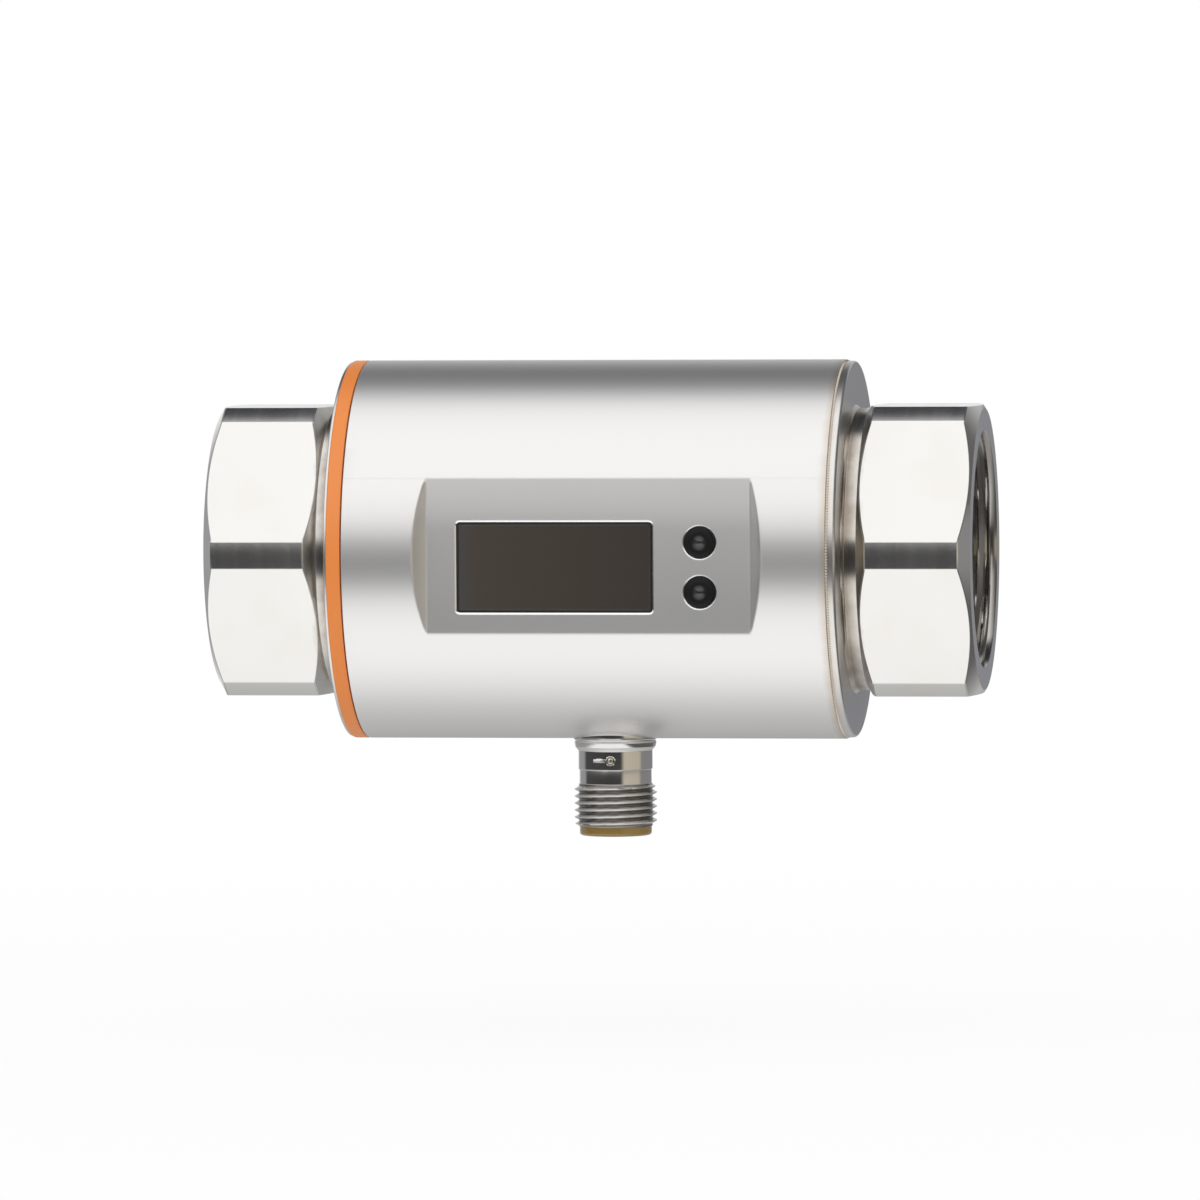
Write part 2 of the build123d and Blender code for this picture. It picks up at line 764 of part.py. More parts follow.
with BuildPart() as collar_cut:
    with BuildSketch(Plane.YZ.offset(-2 * plug_collar_r)):
        Circle(tube_outer_r + plug_gap)
    extrude(amount=4 * plug_collar_r)
    with BuildSketch(Plane.XY):
        Circle(plug_stem_r)
    extrude(amount=-2 * tube_outer_r, mode=Mode.SUBTRACT)
with BuildPart() as connector_shell:
    add(shell.part)
    add(collar_cut.part, mode=Mode.SUBTRACT)
placed_shell = connector_shell.part.moved(Location((plug_x, 0, 0)))
placed_shell.label = "connector_shell"
export_step(placed_shell, "parts/connector_shell.step")


# Amber insert: cup with a coding key, a lip under the shell and a thick floor
carrier_r = plug_bore_r - plug_gap
socket_r = carrier_r - carrier_wall
socket_floor_z = mouth_z + socket_depth
with BuildPart() as carrier:
    with BuildSketch(Plane.XY.offset(socket_floor_z + carrier_floor)):
        Circle(carrier_r)
    extrude(amount=-(socket_floor_z + carrier_floor - mouth_z))
    with BuildSketch(Plane.XY.offset(shell_end_z)):
        Circle(carrier_lip_r)
    extrude(amount=-carrier_lip)
    fillet(carrier.faces().sort_by(Axis.Z)[0].edges(), carrier_lip_round)
    with BuildSketch(Plane.XY.offset(mouth_z)):
        Circle(socket_r)
        with Locations((0, -socket_r)):
            Rectangle(key_width, 2 * key_depth, mode=Mode.SUBTRACT)
    extrude(amount=socket_depth, mode=Mode.SUBTRACT)
    with BuildSketch(Plane.XY.offset(mouth_z)):
        with PolarLocations(pin_circle_r, 4, start_angle=45):
            Circle(pin_r)
    extrude(amount=socket_depth + carrier_floor, mode=Mode.SUBTRACT)
placed_carrier = carrier.part.moved(Location((plug_x, 0, 0)))
placed_carrier.label = "contact_carrier"
export_step(placed_carrier, "parts/contact_carrier.step")


# Four contact pins, from the socket up through the plug board
plug_board_z = shell_top_z + plug_board_thickness
with BuildPart() as pins:
    with BuildSketch(Plane.XY.offset(mouth_z + pin_recess)):
        with PolarLocations(pin_circle_r, 4, start_angle=45):
            Circle(pin_r)
    extrude(amount=plug_board_z + shake_gap - mouth_z - pin_recess)
    fillet(pins.faces().group_by(Axis.Z)[0].edges(), pin_r * 0.6)
placed_pins = pins.part.moved(Location((plug_x, 0, 0)))
placed_pins.label = "contact_pins"
export_step(placed_pins, "parts/contact_pins.step")


# Round board on top of the plug's shell
with BuildPart() as plug_board:
    with BuildSketch(Plane.XY.offset(shell_top_z)):
        Circle(plug_board_r)
        with PolarLocations(pin_circle_r, 4, start_angle=45):
            Circle(pin_r, mode=Mode.SUBTRACT)
    extrude(amount=plug_board_thickness)
placed_plug_board = plug_board.part.moved(Location((plug_x, 0, 0)))
placed_plug_board.label = "plug_board"
export_step(placed_plug_board, "parts/plug_board.step")


# Saddle washer inside the wall: flat for the nut, curved for the tube
with BuildPart() as saddle:
    with BuildSketch(Plane.XY.offset(saddle_top_z)):
        Circle(saddle_r)
        Circle(plug_stem_r + plug_gap, mode=Mode.SUBTRACT)
    extrude(amount=-2 * saddle_thickness)
    with BuildSketch(Plane.YZ.offset(-2 * saddle_r)):
        Circle(tube_inner_r)
    extrude(amount=4 * saddle_r, mode=Mode.INTERSECT)
placed_saddle = saddle.part.moved(Location((plug_x, 0, 0)))
placed_saddle.label = "connector_saddle"
export_step(placed_saddle, "parts/connector_saddle.step")

with BuildPart() as plug_nut:
    with BuildSketch(Plane.XY.offset(saddle_top_z)):
        RegularPolygon(nut_flats / 2, 6, major_radius=False)
        Circle(plug_stem_r + plug_gap, mode=Mode.SUBTRACT)
    extrude(amount=nut_thickness)
placed_nut = plug_nut.part.moved(Location((plug_x, 0, 0)))
placed_nut.label = "connector_nut"
export_step(placed_nut, "parts/connector_nut.step")

with BuildPart() as plug_seal:
    with BuildSketch(Plane.XZ):
        with Locations((plug_stem_r - plug_seal_section / 2, seal_z)):
            Circle(plug_seal_section / 2)
    revolve(axis=Axis.Z)
placed_seal = plug_seal.part.moved(Location((plug_x, 0, 0)))
placed_seal.label = "connector_seal"
export_step(placed_seal, "parts/connector_seal.step")


# Flat lead from the plug board to the main board's lower edge
flex_y = main_board_back_y - board_thickness / 2
with BuildPart() as flex:
    with BuildSketch(Plane.YZ.offset(plug_x - flex_width / 2)):
        with BuildLine():
            FilletPolyline(
                (-pin_circle_r - 2 * pin_r, plug_board_z + flex_thickness / 2),
                (flex_y, plug_board_z + flex_thickness / 2),
                (flex_y, -main_board_height / 2 - flex_thickness),
                radius=flex_bend_r,
            )
        trace(line_width=flex_thickness)
    extrude(amount=flex_width)
flex.part.label = "plug_flex"
export_step(flex.part, "parts/plug_flex.step")
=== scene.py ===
"""Looks of an in-line flow meter: steel housing, two hexagon fittings, display window and plug."""

import json
import logging
import math
from dataclasses import dataclass
from enum import Enum
from typing import Callable, Iterable, Optional, Sequence, Union

import bmesh
import bpy
from mathutils import Matrix, Quaternion, Vector

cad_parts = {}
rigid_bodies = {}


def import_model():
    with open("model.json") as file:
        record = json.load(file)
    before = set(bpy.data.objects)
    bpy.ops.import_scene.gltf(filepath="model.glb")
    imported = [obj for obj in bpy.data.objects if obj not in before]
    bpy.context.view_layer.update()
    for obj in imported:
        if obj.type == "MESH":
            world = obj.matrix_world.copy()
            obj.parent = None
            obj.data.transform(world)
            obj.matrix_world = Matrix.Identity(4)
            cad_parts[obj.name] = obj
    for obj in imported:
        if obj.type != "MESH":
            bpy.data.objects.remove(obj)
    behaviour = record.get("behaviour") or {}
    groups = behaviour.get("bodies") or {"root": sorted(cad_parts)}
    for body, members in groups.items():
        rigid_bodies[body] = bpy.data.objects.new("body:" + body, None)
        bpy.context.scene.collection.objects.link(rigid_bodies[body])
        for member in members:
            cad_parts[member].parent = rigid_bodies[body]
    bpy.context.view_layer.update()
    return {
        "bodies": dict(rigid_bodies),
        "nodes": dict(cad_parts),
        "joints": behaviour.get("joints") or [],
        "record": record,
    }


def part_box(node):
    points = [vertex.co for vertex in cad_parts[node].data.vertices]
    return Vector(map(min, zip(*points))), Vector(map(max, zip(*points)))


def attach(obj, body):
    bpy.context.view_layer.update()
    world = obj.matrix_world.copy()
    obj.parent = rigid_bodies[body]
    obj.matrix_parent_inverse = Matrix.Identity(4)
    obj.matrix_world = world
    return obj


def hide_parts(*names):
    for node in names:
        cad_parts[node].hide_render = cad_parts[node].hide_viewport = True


LOG = logging.getLogger("flow_meter")
MM = 0.001
CLOSE = 1e-3
LEVEL = 1e-4
ON_AXIS = 1e-6
BIG_ROUND = 256
NORMAL_WEIGHT = 80
BODY = "meter"

Point = tuple[float, float]
Colour = tuple[float, float, float]
Stop = tuple[float, Union[float, Colour]]
Path = Iterable[Sequence[float]]


class Turn(Enum):
    """Which way the axis of a turned piece points, as a turn of the +X axis."""

    ALONG_X = Matrix.Identity(4)
    BACK_X = Matrix.Rotation(math.pi, 4, "Z")
    TO_FRONT = Matrix.Rotation(-math.pi / 2, 4, "Z")
    DOWN = Matrix.Rotation(math.pi / 2, 4, "Y")


def shade(red: int, green: int, blue: int) -> Colour:
    """Turns a screen colour of 0 to 255 into the linear one that a shader takes."""
    def linear(value: int) -> float:
        """Gives one channel's linear value."""
        part = value / 255
        return part / 12.92 if part <= 0.04045 else ((part + 0.055) / 1.055) ** 2.4
    return linear(red), linear(green), linear(blue)


def operator(operation: str, swapped: bool = False) -> Callable[["Wire", "Value"], "Wire"]:
    """Gives an operator method of Wire.

    Args:
        operation: The Math node's operation.
        swapped: Whether the other value comes first.

    Returns:
        The method.
    """
    def method(wire: "Wire", other: "Value") -> "Wire":
        """Adds a Math node for the two values."""
        return wire.graph.maths(operation, *((other, wire) if swapped else (wire, other)))
    return method


class Wire:
    """One output of a node tree, on which arithmetic adds Math nodes."""

    __add__ = __radd__ = operator("ADD")
    __sub__ = operator("SUBTRACT")
    __rsub__ = operator("SUBTRACT", swapped=True)
    __mul__ = __rmul__ = operator("MULTIPLY")
    __truediv__ = operator("DIVIDE")

    def __init__(self, graph: "Graph", socket: bpy.types.NodeSocket) -> None:
        """Keeps the socket and the graph that it belongs to."""
        self.graph = graph
        self.socket = socket

    def maths(self, operation: str, *others: "Value") -> "Wire":
        """Adds a Math node whose first input is this wire."""
        return self.graph.maths(operation, self, *others)

    def __abs__(self) -> "Wire":
        """Gives the size of self without its sign."""
        return self.maths("ABSOLUTE")

    def hypot(self, other: "Wire") -> "Wire":
        """Gives the long side of the right-angled triangle with the sides self and other."""
        return (self * self + other * other).maths("SQRT")

    def between(self, low: "Value", high: "Value") -> "Wire":
        """Gives 0 at low, 1 at high, straight between and held outside."""
        return ((self - low) / (high - low)).maths("MAXIMUM", 0.0).maths("MINIMUM", 1.0)

    def between_mm(self, low: float, high: float) -> "Wire":
        """Gives the same for a wire in metres and two places in millimetres."""
        return self.between(low * MM, high * MM)


Value = Union[Wire, float, Sequence[float], str, bool]


class Graph:
    """A node tree, with one method that adds any node."""

    MIX_INPUTS = (0, 6, 7)
    MIX_OUTPUT = 2

    def __init__(self, tree: bpy.types.NodeTree) -> None:
        """Empties the tree and keeps it."""
        self.tree = tree
        self.tree.nodes.clear()

    def add(self, kind: str, *values: Value, settings: Optional[dict] = None, output: Union[int, str] = 0,
            **named: Value) -> Wire:
        """Adds a node, sets it and feeds it.

        Args:
            kind: The node's type.
            values: The values or wires of its inputs, in order.
            settings: Its properties; stops are the stops of a colour ramp.
            output: Which output to give back.
            named: The values or wires of inputs by name, with _ for a space.

        Returns:
            The chosen output.
        """
        node = self.tree.nodes.new(kind)
        for key, setting in (settings or {}).items():
            if key == "stops":
                self._set_stops(node.color_ramp, setting)
            else:
                setattr(node, key, setting)
        for index, value in enumerate(values):
            self._feed(node.inputs[index], value)
        for name, value in named.items():
            self._feed(node.inputs[name.replace("_", " ")], value)
        return Wire(self, node.outputs[output] if node.outputs else None)

    @staticmethod
    def _set_stops(ramp: bpy.types.ColorRamp, stops: Sequence[Stop]) -> None:
        """Gives a colour ramp its stops, of a colour or a grey level each."""
        while len(ramp.elements) > 1:
            ramp.elements.remove(ramp.elements[-1])
        ramp.elements[0].position = stops[0][0]
        for place, _ in stops[1:]:
            ramp.elements.new(place)
        for element, (_, colour) in zip(ramp.elements, stops):
            element.color = (*(colour if isinstance(colour, tuple) else (colour,) * 3), 1.0)

    def _feed(self, socket: bpy.types.NodeSocket, value: Value) -> None:
        """Links a wire to a socket, or sets the socket's value."""
        if isinstance(value, Wire):
            self.tree.links.new(value.socket, socket)
        elif socket.type == "RGBA" and len(value) == 3:
            socket.default_value = (*value, 1.0)
        else:
            socket.default_value = value

    def maths(self, operation: str, *values: Value) -> Wire:
        """Adds a Math node."""
        return self.add("ShaderNodeMath", *values, settings={"operation": operation})

    def mix(self, factor: Value, first: Value, second: Value) -> Wire:
        """Mixes two colours.

        Args:
            factor: 0 for the first, 1 for the second.
            first: A colour.
            second: A colour.

        Returns:
            The mixed colour.
        """
        node = self.tree.nodes.new("ShaderNodeMix")
        node.data_type = "RGBA"
        for index, value in zip(self.MIX_INPUTS, (factor, first, second)):
            self._feed(node.inputs[index], value)
        return Wire(self, node.outputs[self.MIX_OUTPUT])

    def axes(self, vector: Wire) -> tuple[Wire, Wire, Wire]:
        """Gives the x, y and z of a vector."""
        return tuple(self.add("ShaderNodeSeparateXYZ", vector, output=axis) for axis in range(3))

    def place(self) -> tuple[Wire, Wire, Wire]:
        """Gives the x, y and z of a point of the surface, in metres."""
        return self.axes(self.add("ShaderNodeTexCoord", output="Object"))

    def noise(self, scale: float, stretch: Sequence[float] = (1, 1, 1), detail: float = 3.0) -> Wire:
        """Gives a noise pattern in the piece's own frame.

        Args:
            scale: How many features a metre has.
            stretch: Factors of the pattern along x, y and z.
            detail: How many finer octaves are added.

        Returns:
            A value round 0.5.
        """
        point = self.add("ShaderNodeTexCoord", output="Object")
        turned = self.add("ShaderNodeMapping", point, Scale=stretch)
        return self.add("ShaderNodeTexNoise", Vector=turned, Scale=scale, Detail=detail)


def new_material(name: str) -> tuple[bpy.types.Material, Graph]:
    """Makes a material and gives it with its empty node tree."""
    made = bpy.data.materials.new(name)
    made.use_nodes = True
    return made, Graph(made.node_tree)


def placed(name: str, data: bpy.types.ID) -> bpy.types.Object:
    """Makes an object of a mesh, a lamp or a camera and puts it into the scene."""
    made = bpy.data.objects.new(name, data)
    bpy.context.scene.collection.objects.link(made)
    return made


def box_mm(name: str) -> tuple[Vector, Vector]:
    """Gives the low and the high corner of a CAD node's box, in millimetres."""
    low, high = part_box(name)
    return low / MM, high / MM


@dataclass(frozen=True)
class Finish:
    """A surface of one colour with fine variation, grain and a soft gloss."""

    name: str
    colour: Colour
    roughness: float = 0.4
    metallic: float = 0.0
    variation: float = 0.06
    patch: float = 120.0
    grain: float = 2500.0
    relief: float = 0.000004
    stretch: tuple[float, float, float] = (1.0, 1.0, 1.0)
    mottle: float = 0.12
    coat: float = 0.0
    specular: float = 0.5
    coat_ior: float = 1.5
    coat_roughness: float = 0.08

    def material(self) -> bpy.types.Material:
        """Gives the material, made once and then shared."""
        name = f"{self.name}_finish"
        if name in bpy.data.materials:
            return bpy.data.materials[name]
        made, graph = new_material(name)
        colour, roughness = self.look(graph)
        grain = graph.noise(self.grain, self.stretch)
        normal = graph.add("ShaderNodeBump", Strength=1.0, Distance=self.relief, Height=grain)
        shader = graph.add(
            "ShaderNodeBsdfPrincipled",
            Base_Color=colour, Roughness=roughness, Metallic=self.metallic, Normal=normal,
            Coat_Weight=self.gloss(graph), Coat_Roughness=self.coat_roughness,
            Coat_IOR=self.coat_ior, Specular_IOR_Level=self.specular,
        )
        graph.add("ShaderNodeOutputMaterial", Surface=shader)
        return made

    def look(self, graph: Graph) -> tuple[Value, Value]:
        """Adds what varies over the surface.

        Args:
            graph: The material's node tree.

        Returns:
            The wires of colour and roughness.
        """
        patches = graph.noise(self.patch, self.stretch)
        darker = tuple(part * (1 - 2 * self.variation) for part in self.colour)
        return graph.mix(patches, darker, self.colour), self.roughness + (patches - 0.5) * self.mottle

    def gloss(self, graph: Graph) -> Value:
        """Gives the weight of the clear coat, as a number or a wire of the node tree."""
        return self.coat


@dataclass(frozen=True)
class WeldedSteel(Finish):
    """Bright steel with a gold and brown tint that fades away from a weld."""

    metallic: float = 1.0
    weld_x: tuple[float, ...] = ()
    reach: float = 1.6
    strength: float = 0.4
    ragged: float = 1.2
    ragged_scale: float = 260.0
    tint: Colour = shade(196, 160, 104)

    def look(self, graph: Graph) -> tuple[Value, Value]:
        """Adds the bright steel and its tint by the distance from each weld."""
        base, roughness = super().look(graph)
        along, _, _ = graph.place()
        ragged = (graph.noise(self.ragged_scale, detail=4.0) - 0.5) * (self.ragged * self.reach * MM)
        for weld in self.weld_x:
            near = 1 - (abs(along - weld * MM) + ragged).between(0.0, self.reach * MM)
            base = graph.mix(near * self.strength, base, self.tint)
        return base, roughness


@dataclass(frozen=True)
class PressedSteel(WeldedSteel):
    """The housing's steel: matt on its pressed flat, bright where the openings are cut."""

    flat_y: float = -24.66
    flat_z: float = 10.9
    opening_z: float = 8.6
    wall: float = 1.4
    slack: tuple[float, float] = (0.02, 0.06)
    fade: float = 0.1
    matt: float = 0.01
    matt_more: float = 0.21
    matt_z: tuple[float, float] = (3.5, 10.5)
    cut_colour: Colour = (0.97, 0.965, 0.955)
    cut_polish: float = 0.24

    def look(self, graph: Graph) -> tuple[Value, Value]:
        """Adds the matt flat and the bright cut edges."""
        base, roughness = super().look(graph)
        _, depth, height = graph.place()
        near, far = self.slack
        flat = 1 - abs(depth - self.flat_y * MM).between_mm(near, far)
        flat = flat * (1 - abs(height).between_mm(self.flat_z, self.flat_z + self.fade))
        upper = height.between_mm(*self.matt_z)
        roughness = roughness + flat * (self.matt + self.matt_more * upper)
        edge = depth.between_mm(self.flat_y + near, self.flat_y + far)
        back = self.flat_y + self.wall
        edge = edge * (1 - depth.between_mm(back, back + self.fade))
        edge = edge * (1 - abs(height).between_mm(self.opening_z, self.opening_z + self.fade))
        return graph.mix(edge, base, self.cut_colour), roughness - edge * self.cut_polish


@dataclass(frozen=True)
class TurnedSteel(WeldedSteel):
    """Bright steel with the fine rings that a lathe leaves round its axis, faint stains and painted shade
    darkening the bore.
    """

    stain: Colour = (0.78, 0.73, 0.62)
    stained: float = 0.3
    # Painted shade: a dark brown colour mixed into the bore, where shade falls inside the pipe.
    painted_shade: Colour = (0.3, 0.27, 0.24)
    painted_shade_strength: float = 0.65
    bore_r: float = 16.95
    ring_scale: float = 1500.0
    ring_relief: float = 0.08
    stain_scale: float = 95.0

    def look(self, graph: Graph) -> tuple[Value, Value]:
        """Adds rings in the roughness, the stains and the painted shade of the bore to the bright steel."""
        base, roughness = super().look(graph)
        rings = graph.noise(self.ring_scale, (1.0, 0.02, 0.02))
        stains = graph.noise(self.stain_scale, detail=5.0).between(0.5, 0.75)
        _, depth, height = graph.place()
        # Painted shade: the inside of the bore is darkened in its colour.
        bore = 1 - depth.hypot(height).between_mm(self.bore_r, self.bore_r + 0.15)
        base = graph.mix(stains * self.stained, base, self.stain)
        return graph.mix(bore * self.painted_shade_strength, base, self.painted_shade), roughness + (rings - 0.5) * self.ring_relief


@dataclass(frozen=True)
class ThreadSteel(Finish):
    """Bright steel with painted shade at the bottom of the grooves of a thread that points down."""

    metallic: float = 1.0
    # Painted shade: a dark colour mixed into the thread's grooves, where shade falls between the ridges.
    painted_shade: Colour = (0.17, 0.155, 0.145)
    painted_shade_strength: float = 0.8
    middle_x: float = 1.4
    root_r: float = 5.25
    crest_r: float = 5.8
    top_z: float = -33.4

    def look(self, graph: Graph) -> tuple[Value, Value]:
        """Adds painted shade in the grooves to the bright steel."""
        base, roughness = super().look(graph)
        along, depth, height = graph.place()
        radius = (along - self.middle_x * MM).hypot(depth)
        # Painted shade: the groove mask darkens the colour towards the thread's root.
        groove = 1 - radius.between_mm(self.root_r, self.crest_r)
        groove = groove * (1 - height.between_mm(self.top_z - 0.1, self.top_z))
        return graph.mix(groove * self.painted_shade_strength, base, self.painted_shade), roughness


@dataclass(frozen=True)
class ButtonRubber(Finish):
    """Black rubber, glossy in the dish of each of two buttons one over the other."""

    middle_x: float = 16.9
    middle_z: float = -1.6
    apart: float = 7.0
    dish_r: float = 1.05
    dish_coat: float = 0.9

    def gloss(self, graph: Graph) -> Value:
        """Gives the coat's weight, full in the dishes and nothing outside."""
        along, _, height = graph.place()
        up = abs(height - self.middle_z * MM) - self.apart / 2 * MM
        away = (along - self.middle_x * MM).hypot(up)
        faded = away.between(self.dish_r * 0.4 * MM, (self.dish_r + 0.2) * MM)
        return self.dish_coat - self.dish_coat * faded


@dataclass(frozen=True)
class SmokedGlass(Finish):
    """Dark glossy pane, a little greyer at one end than at the other."""

    middle: Colour = (0.06, 0.05, 0.04)
    other: Colour = (0.05, 0.04, 0.03)
    start_x: float = -17.4
    middle_x: float = -14.5
    end_x: float = 10.0
    mottle: float = 0.04
    smear_scale: float = 90.0

    def look(self, graph: Graph) -> tuple[Value, Value]:
        """Adds the change of colour along the pane."""
        along, _, _ = graph.place()
        colour = graph.mix(along.between_mm(self.start_x, self.middle_x), self.colour, self.middle)
        colour = graph.mix(along.between_mm(self.middle_x, self.end_x), colour, self.other)
        return colour, self.roughness + (graph.noise(self.smear_scale) - 0.5) * self.mottle


class Palette:
    """The finishes of the meter, by the record's slots."""

    housing_steel = PressedSteel(
        "housing_steel", (0.88, 0.872, 0.862), 0.4, variation=0.02, patch=40.0, grain=900.0,
        relief=0.0000012, stretch=(0.05, 1.0, 1.0), weld_x=(34.9,), reach=1.1)
    # The turned steel's tint at the necks is partly real heat tint and partly painted shade: it is made
    # darker and stronger to paint the shade between the end covers and the hexagons.
    turned_steel = TurnedSteel(
        "turned_steel", (0.86, 0.85, 0.825), 0.2, variation=0.03, patch=60.0, relief=0.000001,
        stretch=(1.0, 0.05, 0.05), weld_x=(-37.0, 37.0), reach=2.2, strength=0.85, tint=shade(146, 130, 112))
    cover_steel = WeldedSteel(
        "cover_steel", (0.80, 0.79, 0.77), 0.3, variation=0.03, patch=60.0, relief=0.000001,
        stretch=(1.0, 0.05, 0.05), weld_x=(34.9,), reach=0.9)
    plug_steel = ThreadSteel("plug_steel", (0.8, 0.785, 0.76), 0.13, variation=0.04, patch=90.0,
                             relief=0.0000012, stretch=(0.05, 0.05, 1.0))
    electrode_steel = Finish("electrode_steel", (0.62, 0.61, 0.58), 0.3, metallic=1.0)
    screw_steel = Finish("screw_steel", (0.66, 0.66, 0.65), 0.32, metallic=1.0)
    soft_iron = Finish("soft_iron", (0.36, 0.35, 0.34), 0.5, metallic=1.0, variation=0.12)
    copper_wire = Finish("copper_wire", (0.72, 0.29, 0.13), 0.34, metallic=1.0, variation=0.12, patch=300.0,
                         grain=6000.0, relief=0.00004, stretch=(0.02, 0.02, 1.0))
    gland_brass = Finish("gland_brass", (0.72, 0.52, 0.22), 0.32, metallic=1.0)
    gold_contact = Finish("gold_contact", (0.86, 0.62, 0.26), 0.22, metallic=1.0)
    orange_plastic = Finish("orange_plastic", shade(238, 138, 60), 0.36, variation=0.03, patch=60.0,
                            grain=4000.0, relief=0.000003)
    smoked_pane = SmokedGlass("smoked_pane", shade(74, 72, 71), 0.09, variation=0.02, patch=60.0, grain=300.0,
                              relief=0.0000006, coat=1.0, middle=shade(74, 67, 61), other=shade(64, 58, 53))
    display_black = Finish("display_black", (0.02, 0.022, 0.025), 0.4)
    black_rubber = Finish("black_rubber", (0.012, 0.012, 0.013), 0.55, relief=0.000008)
    button_rubber = ButtonRubber("button_rubber", (0.01, 0.01, 0.011), 0.4, specular=0.16, coat_ior=1.8,
                                 coat_roughness=0.24)
    black_plastic = Finish("black_plastic", (0.02, 0.02, 0.021), 0.42)
    natural_plastic = Finish("natural_plastic", (0.72, 0.69, 0.60), 0.45)
    liner_plastic = Finish("liner_plastic", (0.60, 0.53, 0.42), 0.42, variation=0.08)
    amber_plastic = Finish("amber_plastic", shade(146, 117, 46), 0.34, variation=0.1, patch=200.0, coat=1.0)
    board_laminate = Finish("board_laminate", (0.02, 0.12, 0.05), 0.4, variation=0.15, patch=700.0, coat=0.3)
    flex_film = Finish("flex_film", (0.42, 0.20, 0.05), 0.35, coat=0.3)


CAD_FINISHES = {
    "liner_plastic": ("measuring_tube",),
    "black_rubber": ("inlet_tube_seal", "outlet_tube_seal", "connector_seal"),
    "electrode_steel": ("front_electrode", "rear_electrode", "temperature_probe"),
    "gland_brass": ("electrode_glands",),
    "soft_iron": ("upper_pole_piece", "lower_pole_piece", "magnet_yoke"),
    "natural_plastic": ("upper_bobbin", "lower_bobbin", "upper_plunger", "lower_plunger",
                        "inlet_support_ring", "outlet_support_ring"),
    "copper_wire": ("upper_winding", "lower_winding"),
    "display_black": ("display_module",),
    "black_plastic": ("upper_switch", "lower_switch", "board_header"),
    "board_laminate": ("display_board", "main_board", "plug_board"),
    "screw_steel": ("board_screws", "connector_saddle", "connector_nut"),
    "amber_plastic": ("contact_carrier",),
    "gold_contact": ("contact_pins",),
    "flex_film": ("plug_flex",),
}


def span(start: float, end: float, step: float) -> list[float]:
    """Gives evenly spaced values from start to end, about step apart, both ends in."""
    count = max(1, round(abs(end - start) / step))
    return [start + (end - start) * index / count for index in range(count + 1)]


def with_values(places: Sequence[float], extra: Sequence[float], near: float = 0.2) -> list[float]:
    """Puts extra values into a rising list.

    Args:
        places: The list.
        extra: The values.
        near: A value that lies closer than this to one in the list takes its place.

    Returns:
        The new list.
    """
    result = list(places)
    for value in extra:
        nearest = min(range(1, len(result) - 1), key=lambda index: abs(result[index] - value))
        if abs(result[nearest] - value) < near:
            result[nearest] = value
        else:
            result.append(value)
            result.sort()
    return result


def softened(corners: Sequence[tuple[float, ...]], closed: bool = True, steps: int = 4) -> list[Point]:
    """Rounds the corners of an outline.

    Args:
        corners: Points of two numbers, with the corner's radius as a third where it is rounded.
        closed: Whether the outline goes back to its start.
        steps: Points that a rounded corner gets, less one.

    Returns:
        The points of the rounded outline.
    """
    result: list[Point] = []
    count = len(corners)
    for index, corner in enumerate(corners):
        here = Vector(corner[:2])
        radius = corner[2] if len(corner) > 2 else 0.0
        ends = not closed and index in (0, count - 1)
        if radius <= 0 or ends:
            result.append(tuple(here))
            continue
        before = Vector(corners[index - 1][:2]) - here
        after = Vector(corners[(index + 1) % count][:2]) - here
        angle = before.angle(after)
        reach = min(radius / math.tan(angle / 2), before.length * 0.48, after.length * 0.48)
        first, last = here + before.normalized() * reach, here + after.normalized() * reach
        for step in range(steps + 1):
            part = step / steps
            result.append(tuple(first * (1 - part) ** 2 + here * 2 * part * (1 - part) + last * part ** 2))
    return result


def rounded_box(width: float, height: float, radius: float, centre: Point = (0.0, 0.0)) -> list[Point]:
    """Gives the outline of a rectangle with round corners, in a front view."""
    middle_x, middle_z = centre
    corners = [(middle_x + sx * width / 2, middle_z + sz * height / 2, radius)
               for sx, sz in ((-1, -1), (1, -1), (1, 1), (-1, 1))]
    return softened(corners, steps=6)


